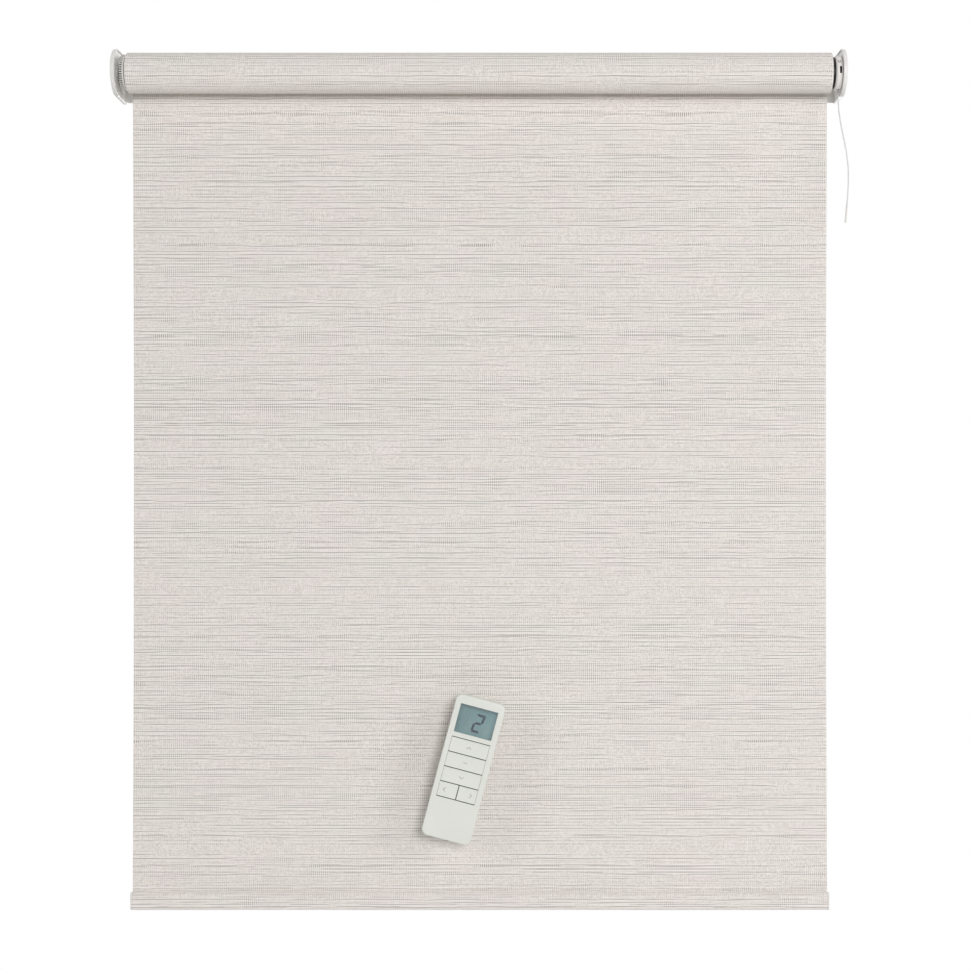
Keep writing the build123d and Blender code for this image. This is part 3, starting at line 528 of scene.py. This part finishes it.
# %% Metals
extruded = (30, 900, 900)
metals = {
    "tube_aluminium": (colour(196, 197, 199), 0.28, 0.42, extruded),
    "bar_aluminium": (colour(190, 191, 193), 0.30, 0.44, extruded),
    "casing_steel": (colour(168, 170, 173), 0.34, 0.50, (22, 700, 700)),
    "spring_steel": (colour(150, 152, 156), 0.22, 0.36, (400, 400, 400)),
    "gear_steel": (colour(158, 159, 161), 0.24, 0.38, (900, 300, 300)),
    "cartridge_metal": (colour(172, 173, 174), 0.26, 0.40, (700, 220, 220)),
    "coin_metal": (colour(186, 187, 189), 0.20, 0.34, (500, 500, 500)),
    "port_metal": (colour(44, 44, 46), 0.40, 0.55, (600, 600, 600)),
}
make_finishes(worked_metal, metals)

# %% [markdown]
# A circuit board is fibreglass under a green lacquer. The copper below shows as slightly raised tracks,
# and bare pads shine. A Voronoi texture with square cells gives a believable layout without drawing one:
# its cell borders become tracks, and a few of its cells become tinned pads.

# %% Circuit board
cells_per_metre = 300
track_from = 0.42
pad_within = 0.10
lacquer_greens = ((0.0, colour(24, 92, 58)), (1.0, colour(34, 112, 70)))
tinned = colour(176, 172, 160)


def board_lacquer(name):
    material, tree, shader = start_finish(name)
    cells = tree.nodes.new("ShaderNodeTexVoronoi")
    cells.distance = "CHEBYCHEV"
    cells.inputs["Scale"].default_value = cells_per_metre
    tree.links.new(object_place(tree), cells.inputs["Vector"])
    track = reckon(tree, "GREATER_THAN", cells.outputs["Distance"], track_from)
    pad = reckon(tree, "LESS_THAN", cells.outputs["Distance"], pad_within)
    lacquer = ramp(tree, track, lacquer_greens)
    tree.links.new(mixed(tree, "MIX", pad, lacquer, tinned), shader.inputs["Base Color"])
    tree.links.new(between(tree, pad, 0.24, 0.36), shader.inputs["Roughness"])
    relief(tree, shader, track, 0.03 * mm, 0.5)
    return material


finishes["board_green"] = board_lacquer("board_green")
print("finishes so far", len(finishes))

# %% [markdown]
# The cells of the battery wear a shrunk plastic sleeve, glossy and a little wavy where it has pulled
# tight. A stretched noise gives that slight quilting along the cell.

# %% Battery sleeve


def shrunk_sleeve(name, paint):
    material, tree, shader = start_finish(name)
    ripple = noise(tree, object_place(tree, (60, 260, 260)), 1.0, 2)
    tones = ((0.3, shade(paint, 0.9)), (0.7, shade(paint, 1.08)))
    tree.links.new(ramp(tree, ripple, tones), shader.inputs["Base Color"])
    tree.links.new(between(tree, ripple, 0.18, 0.30), shader.inputs["Roughness"])
    relief(tree, shader, ripple, 0.05 * mm, 0.5)
    return material


finishes["cell_wrap"] = shrunk_sleeve("cell_wrap", colour(52, 92, 128))
print("finishes so far", len(finishes))

# %% [markdown]
# The display is a liquid crystal panel: a grey-green sheet that is lit a little unevenly, under a clear
# window. Towards its top and its sides the panel has a painted shade, painted darker where its frame would
# keep the light out. The transmitter leans, so a Mapping node turns the place into upright coordinates
# first. The window is real glass to Blender, with a trace of waviness, so that it reflects the room and
# still lets the panel show.

# %% Display and window
lean = math.radians(14.9)
transmitter_middle = Vector((-15.5 * mm, -42 * mm, -692 * mm))
window_side = 19.1 * mm
window_top = 63.2 * mm
side_shadow = 5.0 * mm
top_shadow = 4.5 * mm
side_share = 0.55
painted_frame_shade = (0.30, 0.38, 0.42, 1.0)


def painted_panel_shadow(tree):
    """How deep each place of the display lies in the painted shadow of its frame, from 0 to 1."""
    place = tree.nodes.new("ShaderNodeTexCoord")
    upright = tree.nodes.new("ShaderNodeMapping")
    upright.vector_type = "TEXTURE"
    upright.inputs["Location"].default_value = transmitter_middle
    upright.inputs["Rotation"].default_value = (0, lean, 0)
    tree.links.new(place.outputs["Object"], upright.inputs["Vector"])
    right, ahead, up = split_axes(tree, upright.outputs[0])
    aside = reckon(tree, "ABSOLUTE", right)
    near_side = share_between(tree, aside, window_side - side_shadow, window_side)
    near_top = share_between(tree, up, window_top - top_shadow, window_top)
    return reckon(tree, "MAXIMUM", reckon(tree, "MULTIPLY", near_side, side_share), near_top)


def display_panel(name):
    material, tree, shader = start_finish(name)
    place = object_place(tree)
    tones = ((0.3, colour(108, 141, 145)), (0.7, colour(126, 155, 157)))
    glow = ramp(tree, noise(tree, place, 45, 1), tones)
    # The frame's shadow is painted into the panel's colour.
    shaded = mixed(tree, "MULTIPLY", painted_panel_shadow(tree), glow, painted_frame_shade)
    tree.links.new(shaded, shader.inputs["Base Color"])
    fine = noise(tree, place, 3000, 1)
    tree.links.new(between(tree, fine, 0.45, 0.60), shader.inputs["Roughness"])
    relief(tree, shader, fine, 0.004 * mm, 0.4)
    return material


def clear_window(name):
    material, tree, shader = start_finish(name)
    shader.inputs["Transmission Weight"].default_value = 1.0
    shader.inputs["IOR"].default_value = 1.49
    wave = noise(tree, object_place(tree), 160, 1)
    tints = ((0.0, colour(246, 249, 248)), (1.0, colour(250, 252, 251)))
    tree.links.new(ramp(tree, wave, tints), shader.inputs["Base Color"])
    tree.links.new(between(tree, wave, 0.02, 0.05), shader.inputs["Roughness"])
    relief(tree, shader, wave, 0.004 * mm, 0.3)
    return material


finishes["display_teal"] = display_panel("display_teal")
finishes["lens_clear"] = clear_window("lens_clear")
print("finishes so far", len(finishes))

# %% [markdown]
# The cloth is a light-filtering polyester, woven from slub yarn: each weft thread runs across the blind,
# about a millimetre thick, and swells and thins every few centimetres, so the cloth shows short darker
# and lighter dashes. The pattern is made from the cloth's own length and width, which every cloth piece
# below carries as its UV map: V counts the threads, and along U each thread has its own slow noise.
# A white noise texture gives each thread a different start, or the dashes would line up. A salt is a
# number that is mixed in, so that one such noise differs from the next.

# %% Thread pattern
thread_pitch = 1.05 * mm
dash_length = 41 * mm
warp_pitch = 2.08 * mm
farthest_start = 640
row_step = 3.7


def thread_rows(tree):
    """Across (U) in metres, the number of each weft thread and the place inside it from 0 to 1."""
    flat_place = tree.nodes.new("ShaderNodeTexCoord")
    across, along = split_axes(tree, flat_place.outputs["UV"])[:2]
    count = reckon(tree, "DIVIDE", along, thread_pitch)
    row = reckon(tree, "FLOOR", count)
    return across, row, reckon(tree, "SUBTRACT", count, row)


def join_axes(tree, x, y, z=0.0):
    """A place from its X, Y and Z, which are sockets or plain numbers."""
    joined = tree.nodes.new("ShaderNodeCombineXYZ")
    for slot, value in zip(joined.inputs, (x, y, z)):
        fill(tree, slot, value)
    return joined.outputs[0]


def chance(tree, first, second):
    """A random number from 0 to 1 for each pair of numbers."""
    texture = tree.nodes.new("ShaderNodeTexWhiteNoise")
    texture.noise_dimensions = "2D"
    tree.links.new(join_axes(tree, first, second), texture.inputs[0])
    return texture.outputs[0]


def along_thread(tree, across, row, salt, detail=1.0):
    """Slow noise along each thread, different on every thread and for every salt."""
    start = reckon(tree, "MULTIPLY", chance(tree, row, salt), farthest_start)
    along = reckon(tree, "ADD", reckon(tree, "DIVIDE", across, dash_length), start)
    place = join_axes(tree, along, reckon(tree, "MULTIPLY", row, row_step), salt)
    return noise(tree, place, 1.0, detail)


print("threads in a metre of drop", round(1 / thread_pitch))

# %% [markdown]
# About one weft thread in three is a thinner, greyer one, so fine dark lines lie between the pale ones,
# strong where that thread is thick and gone where it is thin. The threads beside a grey one get a painted
# highlight, painted brighter as if they stood out and caught the light, so each dark line lies between two
# bright ones. The warp crosses them every two millimetres and breaks the lines into dots, in some patches
# more than in others. A white noise in cells of a millimetre stands for the single knots of the yarn.
# Last, two faint tints drift over the cloth in patches of a few centimetres, a warm one and a cooler one,
# as undyed yarn has.

# %% Cloth colours
plain_level = 0.50
pale_share = 0.26
knot_share = 0.36
grey_share = 1.5
beside_grey_highlight_share = 1.1
swell_salt = 1.3
luck_salt = 9.3
pale_salt = 5.1
knot_length = 1.1 * mm
thin_yarn = 0.40
thick_yarn = 0.72
dot_base = 0.8
thread_tones = (
    (0.0, colour(140, 133, 128)),
    (0.5, colour(200, 193, 188)),
    (0.8, colour(222, 216, 211)),
    (1.0, colour(235, 230, 226)),
)
yarn_tints = ((0.36, (1.0, 0.988, 0.994, 1.0)), (0.64, (0.990, 0.998, 0.984, 1.0)))


def yarn_knots(tree, across, row):
    """A random number for each millimetre of each thread."""
    cell = reckon(tree, "FLOOR", reckon(tree, "DIVIDE", across, knot_length))
    return chance(tree, cell, row)


def grey_thread(tree, across, row):
    """How dark a thread is at a place: its luck and how thick it is there."""
    luck = reckon(tree, "POWER", chance(tree, row, luck_salt), 2.0)
    swell = along_thread(tree, across, row, swell_salt, 4.0)
    thick = share_between(tree, swell, thin_yarn, thick_yarn)
    return reckon(tree, "MULTIPLY", thick, luck)


def warp_threads(tree, across):
    """A wave across the cloth, cut off at 1 and -1, with a crest at each warp thread."""
    wave = reckon(tree, "SINE", reckon(tree, "MULTIPLY", across, 2 * math.pi / warp_pitch))
    steep = reckon(tree, "MULTIPLY", wave, 3.0)
    return reckon(tree, "MINIMUM", reckon(tree, "MAXIMUM", steep, -1.0), 1.0)


def yarn_colour(tree, across, row, warp):
    """The colour of a thread at a place, from the threads beside it, which give it a painted highlight,
    and the warp that crosses it.
    """
    pale = along_thread(tree, across, row, pale_salt, 4.0)
    spread = between(tree, noise(tree, object_place(tree, (45, 45, 90)), 1.0, 1), -0.3, 2.2)
    dots = plus_share(tree, dot_base, warp, spread)
    dark = reckon(tree, "MULTIPLY", grey_thread(tree, across, row), dots)
    # The threads above and below a grey one get a painted highlight.
    above = grey_thread(tree, across, reckon(tree, "SUBTRACT", row, 1))
    below = grey_thread(tree, across, reckon(tree, "ADD", row, 1))
    painted_highlight = reckon(tree, "MULTIPLY", reckon(tree, "ADD", above, below), 0.5)
    level = plus_share(tree, plain_level, pale, pale_share)
    level = plus_share(tree, level, yarn_knots(tree, across, row), knot_share)
    level = plus_share(tree, level, dark, -grey_share)
    level = plus_share(tree, level, painted_highlight, beside_grey_highlight_share)
    patches = noise(tree, object_place(tree, (16, 16, 34)), 1.0, 2)
    tint = ramp(tree, patches, yarn_tints)
    return mixed(tree, "MULTIPLY", 1.0, ramp(tree, level, thread_tones), tint)


print("darkest and palest level", plain_level - grey_share, plain_level + pale_share + knot_share)

# %% [markdown]
# The cloth's finish puts the colour together with a soft, matt surface. Yarn scatters light at a grazing
# angle, which is what sheen stands for. The relief is a hump for each weft thread, a dent where the warp
# holds it down, and the swelling of the yarn, all about a twentieth of a millimetre deep.

# %% Cloth finish


def woven_slub(name):
    material, tree, shader = start_finish(name)
    across, row, inside = thread_rows(tree)
    warp = warp_threads(tree, across)
    swell = along_thread(tree, across, row, swell_salt)
    tree.links.new(yarn_colour(tree, across, row, warp), shader.inputs["Base Color"])
    tree.links.new(between(tree, swell, 0.78, 0.92), shader.inputs["Roughness"])
    shader.inputs["Sheen Weight"].default_value = 0.10
    shader.inputs["Sheen Roughness"].default_value = 0.5
    shader.inputs["Specular IOR Level"].default_value = 0.25
    hump = reckon(tree, "SINE", reckon(tree, "MULTIPLY", inside, math.pi))
    crossing = reckon(tree, "MULTIPLY", warp, reckon(tree, "MULTIPLY", hump, 0.3))
    height = reckon(tree, "ADD", hump, reckon(tree, "ADD", crossing, swell))
    relief(tree, shader, height, 0.05 * mm, 0.6)
    return material


finishes["cloth"] = woven_slub("cloth")
print("finishes so far", len(finishes))

# %% [markdown]
# All cloth pieces are the same thing: a strip 0.35 mm thick that follows a line in the side view, a
# nearly straight one for the hanging sheet, a spiral for the roll and a loop for the hem. So one helper
# makes them all. It takes the line, lays copies of it across the width, and gives each point of the cloth
# its place along the length as a UV, which is what the thread pattern reads. A shaping function moves the
# points, because real cloth is never quite flat. The first cell works out where the corners and faces lie.

# %% Places and corners of a cloth strip
cloth_half = 350 * mm
cloth_thickness = 0.35 * mm


def line_places(line):
    """The distance along a line in the side view at each of its points."""
    places = [0.0]
    for (y0, z0), (y1, z1) in zip(line, line[1:]):
        places.append(places[-1] + math.hypot(y1 - y0, z1 - z0))
    return places


def line_normals(line):
    """The direction square to the line at each of its points."""
    normals = []
    for index in range(len(line)):
        y0, z0 = line[max(index - 1, 0)]
        y1, z1 = line[min(index + 1, len(line) - 1)]
        span = math.hypot(y1 - y0, z1 - z0)
        normals.append(((z1 - z0) / span, -(y1 - y0) / span))
    return normals


def across_cloth(column, columns):
    """How far from the middle of the cloth a column lies."""
    return -cloth_half + 2 * cloth_half * column / columns


def strip_points(line, columns, shape):
    """The place of each corner: a front and a back one for every row and column."""
    points = {}
    places = line_places(line)
    normals = line_normals(line)
    for side in (-1, 1):
        offset = side * cloth_thickness / 2
        for row, ((y, z), (ny, nz)) in enumerate(zip(line, normals)):
            for column in range(columns + 1):
                x = across_cloth(column, columns)
                point = shape(x, places[row], y + ny * offset, z + nz * offset)
                points[side, row, column] = point
    return points


def strip_faces(rows, columns):
    """The corners of every face: both sides of the cloth, its two cut edges and its two ends."""
    faces = []
    for row in range(rows):
        for column in range(columns):
            corners = ((row, column), (row, column + 1), (row + 1, column + 1), (row + 1, column))
            faces.append([(-1, *corner) for corner in corners])
            faces.append([(1, *corner) for corner in reversed(corners)])
        for column, turn in ((0, 1), (columns, -1)):
            rim = [(-1, row, column), (-1, row + 1, column), (1, row + 1, column), (1, row, column)]
            faces.append(rim[::turn])
    for column in range(columns):
        for row, turn in ((0, 1), (rows, -1)):
            rim = [(-1, row, column + 1), (-1, row, column), (1, row, column), (1, row, column + 1)]
            faces.append(rim[::turn])
    return faces


print("faces of a strip of two rows and three columns", len(strip_faces(2, 3)))

# %% [markdown]
# With the corners known, the strip itself is short work. Every face is smooth, and only the rims of the
# strip, where faces meet at more than a radian, are marked sharp. The UV map holds real lengths in
# metres, so the threads have the same pitch on all the pieces, and start says how far along the cloth a
# piece begins.

# %% Helper for cloth strips
sharp_angle = 1.0


def cloth_strip(name, line, columns, shape, start=0.0):
    """A strip of cloth that follows a line in the side view and is then shaped."""
    form = bmesh.new()
    flat = form.loops.layers.uv.new("threads")
    places = line_places(line)
    corners = {}
    for key, point in strip_points(line, columns, shape).items():
        corners[key] = form.verts.new(point)
    for keys in strip_faces(len(line) - 1, columns):
        face = form.faces.new([corners[key] for key in keys])
        face.smooth = True
        for loop, (side, row, column) in zip(face.loops, keys):
            loop[flat].uv = (across_cloth(column, columns), start + places[row])
    bmesh.ops.recalc_face_normals(form, faces=form.faces)
    for edge in form.edges:
        if edge.calc_face_angle(0) > sharp_angle:
            edge.smooth = False
    piece = piece_from(name, form)
    piece.data.materials.append(finishes["cloth"])
    return piece


print("cloth half width", cloth_half)

# %% [markdown]
# The sheet hangs from the back of the roll down to the hem. It leaves the roll along the roll's own
# curve, then stands straight behind it. Cloth that is held only at the top and bottom draws in a little
# at mid-height and its cut edges curl back by a fraction of a millimetre, and there are long shallow
# waves across it. All of that is a millimetre at most, yet it is what keeps the sheet from looking like
# a board. When the blind goes up, the cloth winds onto the tube.

# %% Hanging sheet
roll_radius = 20.05 * mm
sheet_plane = tube_axis + 20.525 * mm
sheet_bottom = -815.8 * mm
leave_height = 40 * mm
sheet_rows = 150
curl_width = 12 * mm
curl_depth = 0.5 * mm
wave_depth = 0.22 * mm
draw_in = 0.0030


def sheet_line():
    line = []
    for row in range(sheet_rows + 1):
        z = sheet_bottom * row / sheet_rows
        touching = tube_axis + roll_radius + cloth_thickness / 2
        share = min(1.0, -z / leave_height)
        line.append((touching + (sheet_plane - touching) * share * share * (3 - 2 * share), z))
    return line


def sheet_shape(x, place, y, z):
    """Draws the edges in at mid-height, curls them back and adds long waves."""
    down = place / abs(sheet_bottom)
    belly = math.sin(math.pi * down)
    edge = max(0.0, (abs(x) - cloth_half + curl_width) / curl_width)
    wave = math.sin(x * 17 + 1.2) * math.sin(place * 23 + 0.4) + 0.6 * math.sin(x * 7 - place * 11)
    y += belly * (wave_depth * wave + curl_depth * edge * edge)
    return (x * (1 - draw_in * belly), y, z)


hanging_sheet = cloth_strip("hanging_sheet", sheet_line(), 160, sheet_shape)
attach(hanging_sheet, "mounting")
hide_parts("cloth_sheet")
print("sheet points", len(hanging_sheet.data.vertices))

# %% [markdown]
# The roll is the top of the same cloth, wound on the tube. Seen on its end it is a spiral, and one turn
# never lies exactly over the last, so the turns step in and out by a few tenths of a millimetre. The line
# of the strip is that spiral, from the tube outwards to the back, where the sheet leaves it.

# %% Roll of cloth
roll_turns = 2
points_per_turn = 90
roll_inner = 19.02 * mm
end_step = 0.35 * mm
roll_swell = 0.04 * mm


def roll_line():
    line = []
    steps = roll_turns * points_per_turn
    inner = roll_inner + cloth_thickness / 2
    outer = roll_radius - cloth_thickness / 2
    for step in range(steps + 1):
        turn = 2 * math.pi * (steps - step) / points_per_turn
        radius = inner + (outer - inner) * step / steps
        line.append((tube_axis + radius * math.cos(turn), radius * math.sin(turn)))
    return line


def roll_shape(x, place, y, z):
    """Lets the turns step in and out a little at both ends."""
    step = end_step * math.sin(place * 38) * (x / cloth_half) ** 9
    swell = roll_swell * math.sin(x * 31 + place * 9)
    out = Vector((y - tube_axis, z)).normalized()
    return (x - abs(step) * math.copysign(1, x), y + out.x * swell, z + out.y * swell)


wound_length = line_places(roll_line())[-1]
cloth_wound = cloth_strip("cloth_wound", roll_line(), 90, roll_shape, start=-wound_length)
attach(cloth_wound, "roller")
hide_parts("cloth_roll")
print("cloth on the tube", round(wound_length, 3), "m")

# %% [markdown]
# The hem is the end of the cloth turned up round the flat bar and welded to itself. The weld is a strip
# a few millimetres high, pressed flat just above the pocket. The line of the hem starts at the top of the
# weld, runs over the front of the bar and under it, and comes back up behind.

# %% Hem pocket
hem_y = tube_axis + 17.75 * mm
hem_radius = 2.775 * mm
hem_upper = -823.05 * mm
hem_lower = -835.05 * mm
weld_top = -816.1 * mm
weld_front = tube_axis + 20.175 * mm
weld_step = 0.4 * mm
front_step = 3 * mm
back_step = 3.17 * mm
press_depth = 0.12 * mm
press_height = 0.10 * mm


def arc(centre_z, first, last, steps):
    """Points round one rounded end of the pocket; angles are degrees, 0 is towards the wall."""
    points = []
    for step in range(steps + 1):
        turn = math.radians(first + (last - first) * step / steps)
        points.append((hem_y + hem_radius * math.cos(turn), centre_z + hem_radius * math.sin(turn)))
    return points


def hem_line():
    """Down the weld, over the top of the bar, down its front, round below it and up behind."""
    weld = [(weld_front, weld_top - weld_step * step) for step in range(9)]
    shoulder = [(hem_y + 1.9 * mm, hem_upper + 2.66 * mm), (hem_y + 1.3 * mm, hem_upper + 2.74 * mm)]
    front = [(hem_y - hem_radius, hem_upper - front_step * step) for step in range(1, 4)]
    back = [(hem_y + hem_radius, hem_lower + back_step * step) for step in range(1, 6)]
    line = weld + shoulder + arc(hem_upper, 90, 180, 10) + front + arc(hem_lower, 180, 360, 18)
    return line + back + [(hem_y + hem_radius, weld_top)]


def hem_shape(x, place, y, z):
    """The pocket is pressed by hand, so its front is a little uneven."""
    ahead = max(0.0, hem_y - y) / hem_radius
    return (x, y + press_depth * ahead * math.sin(x * 41), z + press_height * math.sin(x * 23))


hem_fold = cloth_strip("hem_fold", hem_line(), 140, hem_shape, start=-sheet_bottom)
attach(hem_fold, "bar")
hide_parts("hem_pocket")
print("hem strip", round(line_places(hem_line())[-1], 4), "m")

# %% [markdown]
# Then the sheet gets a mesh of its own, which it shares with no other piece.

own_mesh(hanging_sheet)

# %% [markdown]
# The transmitter leans a little to the right, and what is printed on it leans with it. It is easiest to
# lay print out upright, as right, out of the front and up from the middle of the transmitter, so a helper
# turns those three into a place in the room. No printed shape then has to be turned afterwards.

# %% Place on the transmitter


def on_transmitter(right, out, up):
    """Right, out of the front and up on the transmitter, in metres from its middle."""
    x = right * math.cos(lean) + up * math.sin(lean)
    z = up * math.cos(lean) - right * math.sin(lean)
    return transmitter_middle + Vector((x, -out, z))


print("top of the transmitter", tuple(round(value, 4) for value in on_transmitter(0, 0, 72 * mm)))

# %% [markdown]
# Print has almost no thickness, so each printed shape is a thin plate a few hundredths of a millimetre
# proud of what it is printed on. One helper makes the plate from an outline. Another finds the outline of
# a stroke of even width with mitred corners, so a sign needs only its centre line.

# %% Flat printed shapes
sharpest_mitre = 0.3


def printed_shape(name, outline, back, front, body, ink):
    """A thin plate from an outline, given as (right, up) corners on the transmitter."""
    form = bmesh.new()
    layers = []
    for out in (front, back):
        layers.append([form.verts.new(on_transmitter(right, out, up)) for right, up in outline])
    form.faces.new(layers[0])
    form.faces.new(layers[1][::-1])
    count = len(outline)
    for index in range(count):
        after = (index + 1) % count
        form.faces.new([layers[0][index], layers[1][index], layers[1][after], layers[0][after]])
    bmesh.ops.recalc_face_normals(form, faces=form.faces)
    piece = piece_from(name, form)
    piece.data.materials.append(ink)
    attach(piece, body)


def stroke_outline(points, width):
    """The outline of a line of even width, with its corners mitred."""
    corners = [Vector(point) for point in points]
    ways = [(after - here).normalized() for here, after in zip(corners, corners[1:])]
    sides = []
    for side in (1, -1):
        row = []
        for index, here in enumerate(corners):
            before = ways[max(index - 1, 0)]
            ahead = ways[min(index, len(ways) - 1)]
            along = (before + ahead).normalized()
            reach = side * width / 2 / max(sharpest_mitre, along.dot(ahead))
            row.append((here.x - along.y * reach, here.y + along.x * reach))
        sides.append(row)
    return sides[0] + sides[1][::-1]


print("corners of a chevron", len(stroke_outline([(0, 0), (1, 1), (2, 0)], 0.1)))

# %% [markdown]
# The keys carry thin grey signs that are pad printed: a chevron for up, down, left and right, and a dash
# for stop. Pad printing lays down a matt ink that is a little uneven, so the ink is a finish of its own,
# with fine specks. The keys sit in rows of even pitch, and the last row has one key at each side.

# %% Printed signs on the keys


def printing_ink(name, paint):
    material, tree, shader = start_finish(name)
    speck = noise(tree, object_place(tree), 2400, 2)
    tones = ((0.3, shade(paint, 0.9)), (0.7, shade(paint, 1.1)))
    tree.links.new(ramp(tree, speck, tones), shader.inputs["Base Color"])
    tree.links.new(between(tree, speck, 0.5, 0.65), shader.inputs["Roughness"])
    relief(tree, shader, speck, 0.005 * mm, 0.4)
    return material


grey_ink = printing_ink("grey_ink", colour(122, 124, 122))
key_front = 7.0 * mm
sign_half = 2.1 * mm
sign_rise = 1.05 * mm
sign_width = 0.42 * mm
top_key_middle = 21.925 * mm
key_pitch = 15.15 * mm
key_rows = [top_key_middle - key_pitch * row for row in range(4)]
side_key_middle = 13.4 * mm


def chevron(middle, upright, point):
    """Three corners of a chevron; point is how far its tip stands out, to the right or up."""
    across, up = middle
    if upright:
        return [(across - sign_half, up - point), (across, up + point), (across + sign_half, up - point)]
    return [(across - point, up + sign_half), (across + point, up), (across - point, up - sign_half)]


signs = {
    "key_up": chevron((0, key_rows[0]), True, sign_rise),
    "key_stop": [(-sign_half, key_rows[1]), (sign_half, key_rows[1])],
    "key_down": chevron((0, key_rows[2]), True, -sign_rise),
    "key_left": chevron((-side_key_middle, key_rows[3]), False, -sign_rise),
    "key_right": chevron((side_key_middle, key_rows[3]), False, sign_rise),
}
ink_back = key_front - 0.05 * mm
ink_front = key_front + 0.04 * mm
for key, centre_line in signs.items():
    outline = stroke_outline(centre_line, sign_width)
    printed_shape(key + "_sign", outline, ink_back, ink_front, key, grey_ink)
print("signs", list(signs))

# %% [markdown]
# The display shows the number of the channel, a plain 2. Such a digit has seven bars, of which five are
# dark here. Each bar is a flat shape with bevelled ends, and the whole digit slants a little to the
# right. The bars lie on the panel, under the window.

# %% Digit on the display
digit_ink = printing_ink("digit_ink", colour(24, 40, 68))
digit_middle = (2.3 * mm, 47.5 * mm)
digit_half_width = 3.6 * mm
digit_half_height = 8.2 * mm
bar_half = 1.15 * mm
bar_gap = 0.22 * mm
digit_slant = math.tan(math.radians(8))
panel_front = 5.3 * mm


def digit_bar(first, last, ends):
    """A bar between two corners of the digit; ends says how each end is cut."""
    start = Vector(first)
    stop = Vector(last)
    along = (stop - start).normalized()
    square = Vector((-along.y, along.x))
    start = start + along * bar_gap
    stop = stop - along * bar_gap
    corners = [
        start + square * bar_half + along * bar_half * ends[0],
        start - square * bar_half + along * bar_half * ends[1],
        stop - square * bar_half - along * bar_half * ends[2],
        stop + square * bar_half - along * bar_half * ends[3],
    ]
    if ends[0] == ends[1]:
        corners.insert(1, start)
    if ends[2] == ends[3]:
        corners.insert(-1, stop)
    right, up = digit_middle
    return [(right + corner.x + corner.y * digit_slant, up + corner.y) for corner in corners]


side = digit_half_width
top = digit_half_height
digit_bars = {
    "top": ((-side, top), (side, top), (-1, 1, 1, -1)),
    "upper_right": ((side, top), (side, 0), (-1, 1, 1, 1)),
    "middle": ((-side, 0), (side, 0), (1, 1, 1, 1)),
    "lower_left": ((-side, 0), (-side, -top), (1, 1, 1, -1)),
    "bottom": ((-side, -top), (side, -top), (1, -1, -1, 1)),
}
bar_back = panel_front - 0.05 * mm
bar_front = panel_front + 0.03 * mm
for place, (first, last, ends) in digit_bars.items():
    outline = digit_bar(first, last, ends)
    printed_shape("digit_" + place, outline, bar_back, bar_front, "mounting", digit_ink)
print("bars of the digit", len(digit_bars))

# %% [markdown]
# Now every carried-over CAD piece gets the finish of its slot. The record says which slot that is, so
# one short loop dresses them all and none can be forgotten. The antenna wire is a curve of this file's
# own, and gets its finish by hand.

# %% Dress the CAD pieces
subparts = frame["record"]["subparts"]
for part in subparts:
    for slot in nodes[part["node"]].material_slots:
        slot.material = finishes[part["material_slot"]]
antenna.data.materials.append(finishes["wire_white"])
print("dressed", len(subparts))

# %% [markdown]
# The floor is a pale, matt paint with the faintest cloudiness. It throws some light back up, which keeps
# the underside of the roll bright while the cloth right behind it stays in the shade.

# %% Floor finish


def floor_paint(name):
    material, tree, shader = start_finish(name)
    tones = ((0.3, colour(236, 236, 235)), (0.7, colour(240, 240, 239)))
    cloud = noise(tree, object_place(tree), 3, 2)
    tree.links.new(ramp(tree, cloud, tones), shader.inputs["Base Color"])
    shader.inputs["Roughness"].default_value = 0.9
    return material


floor.data.materials.append(floor_paint("floor_paint"))
bpy.context.scene.view_settings.view_transform = "Standard"
print("floor painted")

# %% [markdown]
# Last, the view layer is brought up to date.

# %% Bring the scene up to date
bpy.context.view_layer.update()
